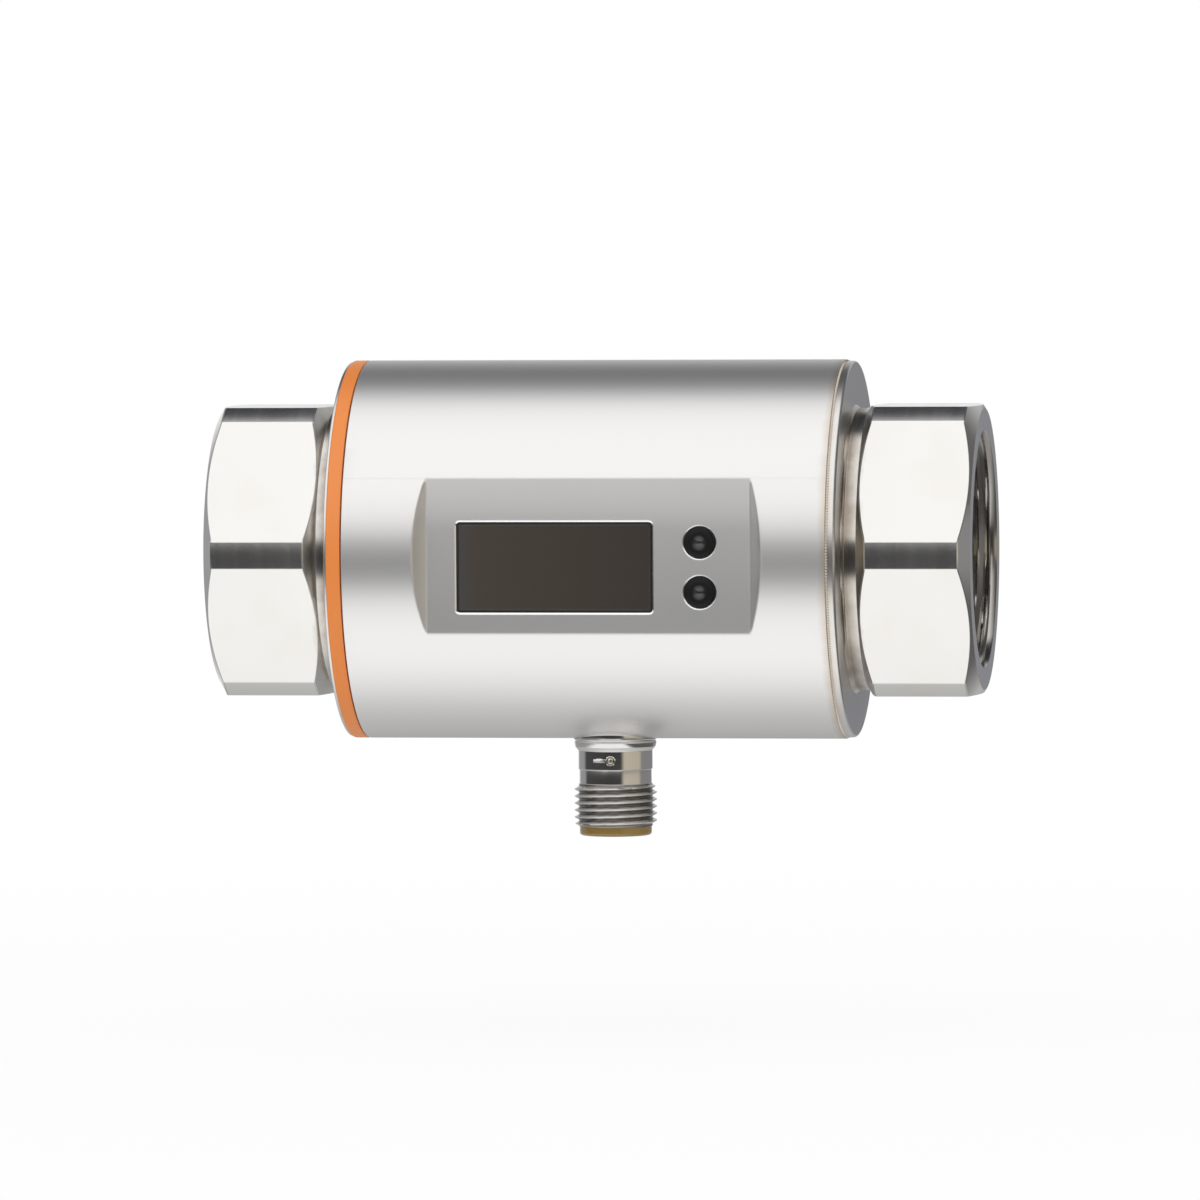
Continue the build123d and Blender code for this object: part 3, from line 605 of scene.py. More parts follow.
class Shape:
    """A mesh in the making, in millimetres."""

    def __init__(self) -> None:
        """Starts with an empty mesh."""
        self.mesh = bmesh.new()

    def turned(self, profile: Sequence[Point], segments: int, turn: Turn = Turn.ALONG_X,
               centre: Sequence[float] = (0, 0, 0)) -> "Shape":
        """Adds a turned solid.

        Args:
            profile: Points of (along the axis, radius); it closes by itself, or on the axis.
            segments: How many steps the circle has.
            turn: Which way the axis points.
            centre: A point of the axis.

        Returns:
            This shape.
        """
        place = Matrix.Translation(centre) @ turn.value
        rings = []
        for along, radius in profile:
            if radius < ON_AXIS:
                rings.append([self.mesh.verts.new(place @ Vector((along, 0, 0)))] * segments)
                continue
            rings.append([
                self.mesh.verts.new(place @ Vector((along, -radius * math.cos(t), radius * math.sin(t))))
                for t in (2 * math.pi * step / segments for step in range(segments))
            ])
        count = len(rings) - 1 if profile[0][1] < ON_AXIS else len(rings)
        for index in range(count):
            first, second = rings[index], rings[(index + 1) % len(rings)]
            for step in range(segments):
                after = (step + 1) % segments
                corners = dict.fromkeys((first[step], first[after], second[after], second[step]))
                self.mesh.faces.new(list(corners))
        return self.outward()

    def prism(self, near: Path, far: Path) -> "Shape":
        """Adds the solid between two outlines with the same number of points."""
        rings = [[self.mesh.verts.new(point) for point in outline] for outline in (near, far)]
        count = len(rings[0])
        for index in range(count):
            after = (index + 1) % count
            self.mesh.faces.new((rings[0][index], rings[0][after], rings[1][after], rings[1][index]))
        for ring in rings:
            self.mesh.faces.new(ring)
        return self.outward()

    def slab(self, outline: Sequence[Point], near_y: float, far_y: float) -> "Shape":
        """Adds a plate with an outline in the front view, between two depths."""
        return self.prism(*([(x, y, z) for x, z in outline] for y in (near_y, far_y)))

    def grid(self, rows: Iterable[Path]) -> "Shape":
        """Adds a grid of points, joined round in both directions."""
        verts = [[self.mesh.verts.new(point) for point in row] for row in rows]
        for i, row in enumerate(verts):
            after = verts[(i + 1) % len(verts)]
            for j in range(len(row)):
                m = (j + 1) % len(row)
                self.mesh.faces.new((row[j], after[j], after[m], row[m]))
        return self.outward()

    def outward(self) -> "Shape":
        """Turns every face outwards."""
        bmesh.ops.recalc_face_normals(self.mesh, faces=self.mesh.faces[:])
        return self

    def bevelled(self, width: float, angle: float = 30.0, segments: int = 3,
                 keep: Callable[[Vector], bool] = lambda middle: True) -> "Shape":
        """Rounds the sharp edges.

        Args:
            width: How far the rounding reaches from the edge.
            angle: Edges that turn more than this many degrees are rounded.
            segments: Steps over the rounding.
            keep: Tells from an edge's middle whether it is rounded.

        Returns:
            This shape.
        """
        edges = [edge for edge in self.mesh.edges
                 if len(edge.link_faces) == 2 and edge.calc_face_angle(0.0) > math.radians(angle)
                 and keep((edge.verts[0].co + edge.verts[1].co) / 2)]
        bmesh.ops.bevel(self.mesh, geom=edges, offset=width, segments=segments,
                        offset_type="OFFSET", profile=0.5, affect="EDGES", clamp_overlap=False)
        return self

    def flattened(self, broad: float, corner: float = 0.03) -> "Shape":
        """Makes flat faces exactly flat.

        Args:
            broad: Faces of more than this area are changed.
            corner: Points of their rims that lie closer than this are joined.

        Returns:
            This shape.
        """
        rims = dict.fromkeys(
            vert for face in self.mesh.faces if face.calc_area() > broad for vert in face.verts)
        bmesh.ops.remove_doubles(self.mesh, verts=list(rims), dist=corner)
        self.mesh.normal_update()
        for face in [face for face in self.mesh.faces if face.calc_area() > broad]:
            normal = face.normal.copy()
            level = sum(vert.co.dot(normal) for vert in face.verts) / len(face.verts)
            for vert in face.verts:
                vert.co -= normal * (vert.co.dot(normal) - level)
        return self

    def cut(self, other: "Shape") -> "Shape":
        """Takes another shape away from this one."""
        body, tool = self.raw("body"), other.raw("tool")
        change = body.modifiers.new("cut", "BOOLEAN")
        change.object = tool
        change.operation = "DIFFERENCE"
        change.solver = "EXACT"
        result = evaluated(body)
        self.mesh.clear()
        self.mesh.from_mesh(result)
        bmesh.ops.scale(self.mesh, vec=(1 / MM,) * 3, verts=self.mesh.verts[:])
        for made in (body, tool):
            bpy.data.objects.remove(made)
        return self

    def raw(self, name: str) -> bpy.types.Object:
        """Gives an object with a copy of the mesh, in metres."""
        data = bpy.data.meshes.new(name)
        self.mesh.to_mesh(data)
        data.transform(Matrix.Scale(MM, 4))
        return placed(name, data)

    def piece(self, name: str, finish: Finish, smooth_angle: float = 32.0) -> bpy.types.Object:
        """Makes the finished object, in metres.

        Args:
            name: The object's name.
            finish: Its surface.
            smooth_angle: Edges that turn more than this many degrees stay sharp.

        Returns:
            The object, with its place in its mesh.
        """
        made = self.raw(name)
        made.data.materials.clear()
        made.data.materials.append(finish.material())
        smooth(made, smooth_angle)
        return made


def evaluated(made: bpy.types.Object) -> bpy.types.Mesh:
    """Gives an object's mesh with its modifiers applied."""
    bpy.context.view_layer.update()
    graph = bpy.context.evaluated_depsgraph_get()
    return bpy.data.meshes.new_from_object(made.evaluated_get(graph), depsgraph=graph)


def smooth(made: bpy.types.Object, angle: float, broad: float = 12.0) -> None:
    """Shades an object smooth between its sharp edges, with broad flat faces kept flat.

    Args:
        made: The object.
        angle: Edges that turn more than this many degrees stay sharp.
        broad: Faces of more than this many square millimetres stay flat.
    """
    data = made.data
    data.polygons.foreach_set("use_smooth", [True] * len(data.polygons))
    data.set_sharp_from_angle(angle=math.radians(angle))
    wide = [polygon for polygon in data.polygons if polygon.area > broad * MM * MM]
    for polygon in wide:
        polygon.use_smooth = False
        for loop in polygon.loop_indices:
            data.edges[data.loops[loop].edge_index].use_edge_sharp = True
    change = made.modifiers.new("normals", "WEIGHTED_NORMAL")
    change.keep_sharp = True
    change.weight = NORMAL_WEIGHT
    made.data = evaluated(made)
    made.modifiers.clear()


class NodeModifier:
    """A Geometry Nodes tree with named inputs, used as a modifier and then applied."""

    def __init__(self, name: str, inputs: dict[str, Union[float, int]]) -> None:
        """Makes the tree's interface.

        Args:
            name: The tree's name.
            inputs: Each input's value by its name; a whole number makes an input of whole numbers.
        """
        self.tree = bpy.data.node_groups.new(name, "GeometryNodeTree")
        self.graph = Graph(self.tree)
        face = self.tree.interface
        face.new_socket("Geometry", in_out="INPUT", socket_type="NodeSocketGeometry")
        self.values = {}
        for key, value in inputs.items():
            kind = "NodeSocketInt" if isinstance(value, int) else "NodeSocketFloat"
            self.values[face.new_socket(key, in_out="INPUT", socket_type=kind).identifier] = value
        face.new_socket("Geometry", in_out="OUTPUT", socket_type="NodeSocketGeometry")
        self.entry = self.tree.nodes.new("NodeGroupInput")

    def given(self, name: str) -> Wire:
        """Gives the wire of one of the tree's inputs."""
        return Wire(self.graph, self.entry.outputs[name])

    def apply(self, made: bpy.types.Object, geometry: Wire, finish: Finish) -> None:
        """Ends the tree, runs it on an object and keeps the result as its mesh."""
        real = self.graph.add("GeometryNodeRealizeInstances", geometry)
        dressed = self.graph.add("GeometryNodeSetMaterial", real, Material=finish.material())
        self.graph.add("NodeGroupOutput", dressed)
        change = made.modifiers.new(self.tree.name, "NODES")
        change.node_group = self.tree
        for identifier, value in self.values.items():
            change[identifier] = value
        made.data = evaluated(made)
        made.modifiers.clear()


@dataclass(frozen=True)
class Thread:
    """A screw thread round the X axis, raised from a plain turned band."""

    root: float
    crest: float
    pitch: float
    start: float
    end: float
    run_out: float
    flank: tuple[float, float] = (0.12, 0.88)
    slack: float = 0.02

    def band(self, per_turn: int = 12) -> list[Point]:
        """Gives the profile points of the plain band, so many in each pitch."""
        return [(along, self.root) for along in span(self.start, self.end, self.pitch / per_turn)]

    def raise_on(self, made: bpy.types.Object, finish: Finish) -> None:
        """Raises the thread's ridge on an object whose band lies at the root radius.

        Args:
            made: The object, still along the X axis, in metres.
            finish: Its surface.
        """
        nodes = NodeModifier("screw_thread", {
            "Root": self.root * MM, "Crest": self.crest * MM, "Pitch": self.pitch * MM,
            "Start": self.start * MM, "End": self.end * MM, "Run Out": self.run_out * MM,
        })
        graph = nodes.graph
        along, across, up = graph.axes(graph.add("GeometryNodeInputPosition"))
        radius = across.hypot(up)
        turn = up.maths("ARCTAN2", across) / (2 * math.pi)
        phase = (along / nodes.given("Pitch") - turn).maths("FRACT")
        ridge = (1 - abs(phase * 2 - 1)).between(*self.flank)
        start, end, run = nodes.given("Start"), nodes.given("End"), nodes.given("Run Out")
        ridge = ridge * along.between(start, start + run) * (end - along).between(0.0, run)
        root = nodes.given("Root")
        wanted = root + (nodes.given("Crest") - root) * ridge
        factor = wanted / radius
        moved = graph.add("ShaderNodeCombineXYZ", along, across * factor, up * factor)
        near = radius.maths("COMPARE", root, self.slack * MM)
        inside = near * along.maths("GREATER_THAN", start) * along.maths("LESS_THAN", end)
        geometry = graph.add("GeometryNodeSetPosition", nodes.given("Geometry"), Selection=inside,
                             Position=moved)
        nodes.apply(made, geometry, finish)


@dataclass(frozen=True)
class WeldRipples:
    """The fine scales of a weld that runs round the X axis."""

    name: str
    along: float
    radius: float
    count: int = 420
    scale_radius: float = 0.2
    stretch: float = 2.2

    def build(self, finish: Finish) -> bpy.types.Object:
        """Makes the ring of scales with Geometry Nodes.

        Args:
            finish: Its surface.

        Returns:
            The ring as one object.
        """
        made = placed(self.name, bpy.data.meshes.new(self.name))
        nodes = NodeModifier("weld_scales", {
            "Count": self.count, "Ring Radius": self.radius * MM, "Scale Radius": self.scale_radius * MM,
            "Stretch": self.stretch, "Along": self.along * MM,
        })
        graph = nodes.graph
        circle = graph.add("GeometryNodeMeshCircle", Vertices=nodes.given("Count"),
                           Radius=nodes.given("Ring Radius"))
        ball = graph.add("GeometryNodeMeshUVSphere", Segments=10, Rings=6,
                         Radius=nodes.given("Scale Radius"))
        stretched = graph.add("ShaderNodeCombineXYZ", 1.0, 1.0, nodes.given("Stretch"))
        long_ball = graph.add("GeometryNodeTransform", ball, Scale=stretched)
        points = graph.add("GeometryNodeInstanceOnPoints", circle, Instance=long_ball)
        offset = graph.add("ShaderNodeCombineXYZ", nodes.given("Along"), 0.0, 0.0)
        ring = graph.add("GeometryNodeTransform", points, Translation=offset,
                         Rotation=(0.0, math.pi / 2, 0.0))
        nodes.apply(made, ring, finish)
        smooth(made, 60.0)
        return made


def keep_on_body(made: bpy.types.Object, body: str, slot: str, *nodes: str) -> None:
    """Makes an object ride on a body and hides the nodes that it stands for."""
    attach(made, body)
    if nodes:
        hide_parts(*nodes)
    LOG.info("%s rides on %s, %d faces", made.name, body, len(made.data.polygons))


@dataclass
class Housing:
    """The steel tube with the flat pressed into its front, its end covers and its ring."""

    wall: float = 1.5
    press_depth: float = 2.34
    press_length: float = 46.0
    press_x: float = 1.1
    press_slope: float = 36.0
    foot_blend: float = 0.33
    crest_blend: float = 0.33
    edge_blend: float = 0.14
    window_lip: float = 1.5
    window_corner: float = 0.45
    button_gap: float = 0.05
    button_flange: float = 0.73
    plug_gap: float = 0.05
    plug_stem_r: float = 5.9
    window_edge: float = 0.42
    button_edge: float = 0.28
    end_edge: float = 0.12
    stub_r: float = 18.55
    cover_depth: float = 5.0
    cutter_depth: float = 7.0
    panel_half_height: float = 9.0
    panel_end: float = 4.0
    fine_step: float = 0.1
    flat_step: float = 0.45
    coarse_step: float = 2.4
    fine_out: float = 2.4
    fine_in: float = 0.6
    round_steps: int = 236
    crowding: float = 0.12

    def __post_init__(self) -> None:
        """Reads the sizes that the frame gives."""
        low, high = box_mm("housing_tube")
        self.radius = high.z
        self.start, self.end = low.x, high.x
        self.flat_y = -(self.radius - self.press_depth)
        cover = box_mm("outlet_end_cover")[1]
        self.half, self.rim_r = cover.x, cover.z
        self.slope = math.tan(math.radians(self.press_slope))
        middles = [sum(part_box(name), Vector()) / 2 / MM
                   for name in ("display_window", "button_upper", "button_lower")]
        self.split_x = [middle.x for middle in middles[:2]]
        self.split_z = [middle.z for middle in middles]

    def press(self, x: float, flat: float, shift: float) -> float:
        """Gives the depth of the pressed flat at a place along the tube, its foot blended.

        Args:
            x: The place along the tube.
            flat: The flat's y.
            shift: How much further out the two feet lie.

        Returns:
            The y of the flat or of its sloping ends.
        """
        first = self.press_x - self.press_length / 2 - shift
        last = self.press_x + self.press_length / 2 + shift
        past = max(first - x, x - last)
        sloped = flat - past / self.slope
        blend = max(self.foot_blend - abs(sloped - flat), 0.0) / self.foot_blend
        return min(sloped, flat) - blend * blend * self.foot_blend / 4

    def skin(self, x: float, z: float, radius: float, flat: float, shift: float) -> float:
        """Gives the front surface's y at a place, with its crest blended."""
        plain = -math.sqrt(max(radius * radius - z * z, 0.0))
        pressed = self.press(x, flat, shift)
        ends = max(self.press_x - self.press_length / 2 - x, x - self.press_x - self.press_length / 2)
        part = min(max(ends / 0.5 + 0.5, 0.0), 1.0)
        width = self.edge_blend + (self.crest_blend - self.edge_blend) * part
        blend = max(width - abs(plain - pressed), 0.0) / width
        return max(plain, pressed) + blend * blend * width / 4

    def section(self, x: float, radius: float, flat: float, shift: float) -> list[Vector]:
        """Gives the points of one section of a skin, round the tube."""
        factor = radius / self.radius
        edge = math.sqrt(self.radius ** 2 - self.flat_y ** 2)
        front = edge + 1.0
        inside = front - 2
        fine = self.fine_step
        rows = with_values(span(-front, -inside, fine)[:-1] + span(-inside, inside, self.flat_step)[:-1]
                           + span(inside, front, fine), self.split_z)
        points = [Vector((x, self.skin(x, z * factor, radius, flat, shift), z * factor)) for z in rows]
        turn = math.asin(front / self.radius)
        for part in span(0.0, 1.0, 1 / self.round_steps)[1:-1]:
            angle = turn + 2 * (math.pi - turn) * (part - self.crowding * math.sin(2 * math.pi * part))
            points.append(Vector((x, -radius * math.cos(angle), radius * math.sin(angle))))
        return points

    def columns(self) -> list[float]:
        """Gives the places along the tube where its grid has a section."""
        first = self.press_x - self.press_length / 2
        last = self.press_x + self.press_length / 2
        coarse, fine, out, into = self.coarse_step, self.fine_step, self.fine_out, self.fine_in
        return with_values(
            span(self.start, first - out, coarse)[:-1] + span(first - out, first + into, fine)[:-1]
            + span(first + into, last - into, coarse)[:-1] + span(last - into, last + out, fine)[:-1]
            + span(last + out, self.end, coarse), self.split_x)

    def openings(self) -> Shape:
        """Gives the solids that the window, the buttons and the plug take out of the wall."""
        low, high = box_mm("display_window")
        centre = ((low.x + high.x) / 2, (low.z + high.z) / 2)
        width, height = high.x - low.x - 2 * self.window_lip, high.z - low.z - 2 * self.window_lip
        window = rounded_box(width, height, self.window_corner, centre)
        tool = Shape().slab(window, -self.radius, -self.radius + self.cutter_depth)
        for name in ("button_upper", "button_lower"):
            low, high = box_mm(name)
            hole = (high.x - low.x) / 2 - self.button_flange + self.button_gap
            face, wide = -self.press_depth, hole + self.button_edge
            profile = [(-self.cutter_depth, 0.0), (-self.cutter_depth, hole),
                       (face - self.button_edge * 0.32, hole), (face, wide),
                       (face + 0.05, wide), (0.0, wide), (0.0, 0.0)]
            centre = (low.x + high.x) / 2, -self.radius, (low.z + high.z) / 2
            tool.turned(profile, 72, Turn.TO_FRONT, centre)
        low, high = box_mm("contact_carrier")
        hole = self.plug_stem_r + self.plug_gap
        profile = [(-6.0, 0.0), (-6.0, hole), (1.5, hole), (1.5, 0.0)]
        return tool.turned(profile, 96, Turn.DOWN, ((low.x + high.x) / 2, 0, -self.radius))

    def build_tube(self) -> None:
        """Builds the tube with its flat, its openings and their fine bright edges."""
        inner_r, inner_flat = self.radius - self.wall, self.flat_y + self.wall
        shift = self.wall * math.tan(math.radians((90 - self.press_slope) / 2))
        places = self.columns()
        outer = [self.section(x, self.radius, self.flat_y, 0.0) for x in places]
        inner = [self.section(x, inner_r, inner_flat, shift) for x in reversed(places)]
        shape = Shape().grid(outer + inner)
        flat = [vert for vert in shape.mesh.verts
                if min(abs(vert.co.y - self.flat_y), abs(vert.co.y - inner_flat)) < LEVEL]
        kept = set(flat)
        edges = [edge for edge in shape.mesh.edges if kept.issuperset(edge.verts)]
        for edge in edges:
            near, far = (vert.co for vert in edge.verts)
            edge.seam = any(abs(near.x - x) + abs(far.x - x) < CLOSE for x in self.split_x) or any(
                abs(near.z - z) + abs(far.z - z) < CLOSE for z in self.split_z)
        bmesh.ops.dissolve_limit(shape.mesh, angle_limit=math.radians(0.05), verts=flat, edges=edges,
                                 delimit={"SEAM"})
        shape.cut(self.openings())
        near_flat = abs(self.flat_y) - 0.3
        between = self.split_x[0] + 0.7 * (self.split_x[1] - self.split_x[0])
        shape.bevelled(self.window_edge, 50.0, 3,
                       lambda p: p.y < -near_flat and abs(p.z) < self.panel_half_height
                       and self.panel_end - self.half < p.x < between)
        shape.bevelled(self.end_edge, 50.0, 3,
                       lambda p: min(abs(p.x - self.start), abs(p.x - self.end)) < CLOSE
                       and math.hypot(p.y, p.z) > self.radius - 0.5)
        piece = shape.piece("housing_skin", Palette.housing_steel)
        keep_on_body(piece, BODY, "housing_steel", "housing_tube")

    def build_covers(self) -> None:
        """Builds the two end covers: a thin rim, and a broad one with a round outer edge."""
        plug_r = self.radius - self.wall - self.plug_gap
        inlet = softened([
            (-self.half, self.stub_r), (-self.half, self.rim_r, 0.18), (self.start - 2.15, self.rim_r, 0.06),
            (self.start - 2.15, plug_r), (-self.half + self.cover_depth, plug_r, 0.2),
            (-self.half + self.cover_depth, self.stub_r),
        ])
        outlet = softened([
            (self.half, self.stub_r), (self.half, self.rim_r, 0.5), (self.end, self.rim_r, 0.08),
            (self.end, plug_r), (self.half - self.cover_depth, plug_r, 0.2),
            (self.half - self.cover_depth, self.stub_r),
        ])
        for name, profile in (("inlet", inlet), ("outlet", outlet)):
            piece = Shape().turned(profile, BIG_ROUND).piece(f"{name}_cover_skin", Palette.cover_steel)
            keep_on_body(piece, BODY, "cover_steel", f"{name}_end_cover")

    def build_ring(self) -> None:
        """Builds the orange ring."""
        low, high = box_mm("accent_ring")
        inner = self.radius - self.wall
        profile = softened([(low.x, inner, 0.2), (low.x, self.radius, 0.22), (high.x, self.radius, 0.22),
                            (high.x, inner, 0.2)])
        piece = Shape().turned(profile, BIG_ROUND).piece("accent_ring_skin", Palette.orange_plastic)
        keep_on_body(piece, BODY, "orange_plastic", "accent_ring")

    def build_weld(self) -> None:
        """Builds the fine weld between the tube and the outlet cover."""
        ripples = WeldRipples("cover_weld", self.end, self.rim_r - 0.1)
        keep_on_body(ripples.build(Palette.cover_steel), BODY, "cover_steel")


@dataclass
class Fittings:
    """The two turned hexagon fittings with their pipe threads."""

    face_rim_r: float = 20.0
    chamfer_angle: float = 30.0
    hex_length: float = 16.1
    neck_r: float = 20.1
    stub_r: float = 18.5
    stub_length: float = 9.25
    thread_crest_r: float = 15.15
    thread_root_r: float = 16.6
    thread_pitch: float = 2.309
    mouth_r: float = 16.9
    thread_depth: float = 17.5
    passage_r: float = 13.5
    throat_length: float = 3.05
    throat_r: float = 10.0
    spigot_r: float = 14.05
    edge: float = 0.12
    weld_bead: float = 0.45
    thread_start: float = 1.2
    thread_run_out: float = 0.9
    broad_face: float = 50.0
    round_steps: int = 240
    cutter_half_width: float = 10.6
    cutter_thickness: float = 4.0

    def __post_init__(self) -> None:
        """Reads the sizes that the frame gives."""
        self.half_length, self.corner_r, self.apothem = box_mm("outlet_fitting")[1]
        self.half_housing = box_mm("outlet_end_cover")[1].x
        self.stub_end = self.half_housing - self.stub_length

    def profile(self, thread: Thread) -> list[Point]:
        """Gives the fitting's turned profile, from the stub's end outwards and back along the bore."""
        slant = math.tan(math.radians(self.chamfer_angle))
        outer, edge = self.half_length, self.edge
        hex_start = outer - self.hex_length
        back_run = (self.corner_r - self.neck_r) * slant
        front_run = (self.corner_r - self.face_rim_r) * slant
        thread_end = outer - self.thread_depth
        liner_end = thread_end - self.throat_length
        weld = self.weld_bead
        outside = softened([
            (self.stub_end, self.spigot_r), (self.stub_end, self.stub_r, edge),
            (self.half_housing - 0.3, self.stub_r), (self.half_housing, self.neck_r + weld),
            (self.half_housing + weld * 0.5, self.neck_r + weld * 0.55, 0.2),
            (self.half_housing + weld, self.neck_r, 0.2), (hex_start, self.neck_r, 0.15),
            (hex_start + back_run, self.corner_r, edge), (outer - front_run, self.corner_r, edge),
            (outer, self.face_rim_r, edge), (outer, self.mouth_r, edge),
            (outer - 0.75, self.thread_root_r),
        ], closed=False)
        inside = softened([
            (thread_end + 0.2, self.thread_root_r), (thread_end, self.thread_root_r - 0.2),
            (thread_end, self.passage_r, edge), (liner_end, self.throat_r, edge),
            (liner_end, self.spigot_r),
        ], closed=False)
        return outside + thread.band()[::-1] + inside

    def flats(self) -> Shape:
        """Gives the six slabs that cut the hexagon's flats."""
        tool = Shape()
        ends = self.half_length - self.hex_length - 0.05, self.half_length + 1
        half, low, high = self.cutter_half_width, self.apothem, self.apothem + self.cutter_thickness
        for side in range(6):
            turn = Matrix.Rotation(math.radians(30 + 60 * side), 4, "X")
            tool.prism(*([turn @ Vector((x, up, -across)) for across, up in
                          ((-half, low), (half, low), (half, high), (-half, high))] for x in ends))
        return tool

    def build(self) -> None:
        """Builds both fittings, the second one turned half way round."""
        outer = self.half_length
        thread = Thread(self.thread_root_r, self.thread_crest_r, self.thread_pitch,
                        outer - self.thread_depth + self.thread_start, outer - self.thread_run_out,
                        self.thread_run_out)
        shape = Shape().turned(self.profile(thread), self.round_steps).cut(self.flats())
        hex_start = outer - self.hex_length
        shape.bevelled(self.edge, 14.0, 2, lambda p: p.x > hex_start + 0.02
                       and math.hypot(p.y, p.z) > self.apothem - 0.6)
        shape.flattened(self.broad_face)
        for name, turn in (("outlet", Turn.ALONG_X), ("inlet", Turn.BACK_X)):
            made = shape.raw(f"{name}_fitting_skin")
            made.data.materials.append(Palette.turned_steel.material())
            thread.raise_on(made, Palette.turned_steel)
            made.data.transform(turn.value)
            smooth(made, 32.0)
            keep_on_body(made, BODY, "turned_steel", f"{name}_fitting")


@dataclass
class FrontPanel:
    """What shows in the pressed flat: the pane, its black seal and the two buttons."""

    lip: float = 1.5
    seal_gap: float = 0.25
    recess: float = 0.15
    pane_corner: float = 0.33
    window_corner: float = 0.45
    pane_edge: float = 0.06
    flange: float = 0.73
    dish_r: float = 1.2
    dish: float = 0.3
    stem_r: float = 1.2
    back_thickness: float = 1.0
    seal_setback: float = 0.02
    seal_back: float = 0.3
    shoulder_depth: float = 1.8
    flange_thickness: float = 0.5
    straight: float = 0.1
    round_steps: int = 96
    dome_steps: int = 14
    dish_steps: int = 8

    def build_pane(self) -> None:
        """Builds the smoked pane and the collar of its seal."""
        low, high = box_mm("display_window")
        centre = ((low.x + high.x) / 2, (low.z + high.z) / 2)
        width, height = high.x - low.x - 2 * self.lip, high.z - low.z - 2 * self.lip
        pane = rounded_box(width - 2 * self.seal_gap, height - 2 * self.seal_gap, self.pane_corner, centre)
        back = rounded_box(high.x - low.x, high.z - low.z, self.window_corner + self.lip / 2, centre)
        step = high.y - self.back_thickness
        shape = Shape().slab(pane, low.y, step).bevelled(self.pane_edge, 60.0, 2)
        shape.slab(back, step, high.y)
        keep_on_body(shape.piece("pane_skin", Palette.smoked_pane), BODY, "smoked_pane", "display_window")
        seal_low, seal_high = box_mm("window_gasket")
        outline = rounded_box(width, height, self.window_corner, centre)
        front, rear = seal_low.y + self.seal_setback, seal_high.y
        rings = [[(x, y, z) for x, z in ring] for ring, y in (
            (outline, front), (pane, front), (pane, rear), (back, rear),
            (back, rear - self.seal_back), (outline, rear - self.seal_back))]
        piece = Shape().grid(rings).piece("window_seal_skin", Palette.black_rubber)
        keep_on_body(piece, BODY, "black_rubber", "window_gasket")

    def build_buttons(self) -> None:
        """Builds the two push buttons with their dished domes, each on its own body."""
        flat_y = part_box("display_window")[0].y / MM - self.recess
        for place in ("upper", "lower"):
            low, high = box_mm(f"button_{place}")
            flange_r = (high.x - low.x) / 2
            radius = flange_r - self.flange
            centre = ((low.x + high.x) / 2, 0.0, (low.z + high.z) / 2)
            top, foot = -low.y, -high.y
            shoulder, base = -flat_y - self.shoulder_depth, -flat_y + self.straight
            below = shoulder - self.flange_thickness
            profile = [(foot, 0.0), (foot, self.stem_r), (below, self.stem_r), (below, flange_r),
                       (shoulder, flange_r), (shoulder, radius), (base, radius)]
            for step in range(1, self.dome_steps + 1):
                turn = step / self.dome_steps * math.pi / 2
                r = radius - (radius - self.dish_r) * (1 - math.cos(turn))
                profile.append((base + (top + flat_y - self.straight) * math.sin(turn), r))
            for step in range(1, self.dish_steps + 1):
                part = step / self.dish_steps
                depth = self.dish * (math.cos(math.pi * part) - 1) / 2
                profile.append((top + depth, self.dish_r * (1 - part)))
            profile[-1] = (profile[-1][0], 0.0)
            piece = Shape().turned(profile, self.round_steps, Turn.TO_FRONT, centre).piece(
                f"{place}_button_skin", Palette.button_rubber, 50.0)
            keep_on_body(piece, f"{place}_key", "button_rubber", f"button_{place}")


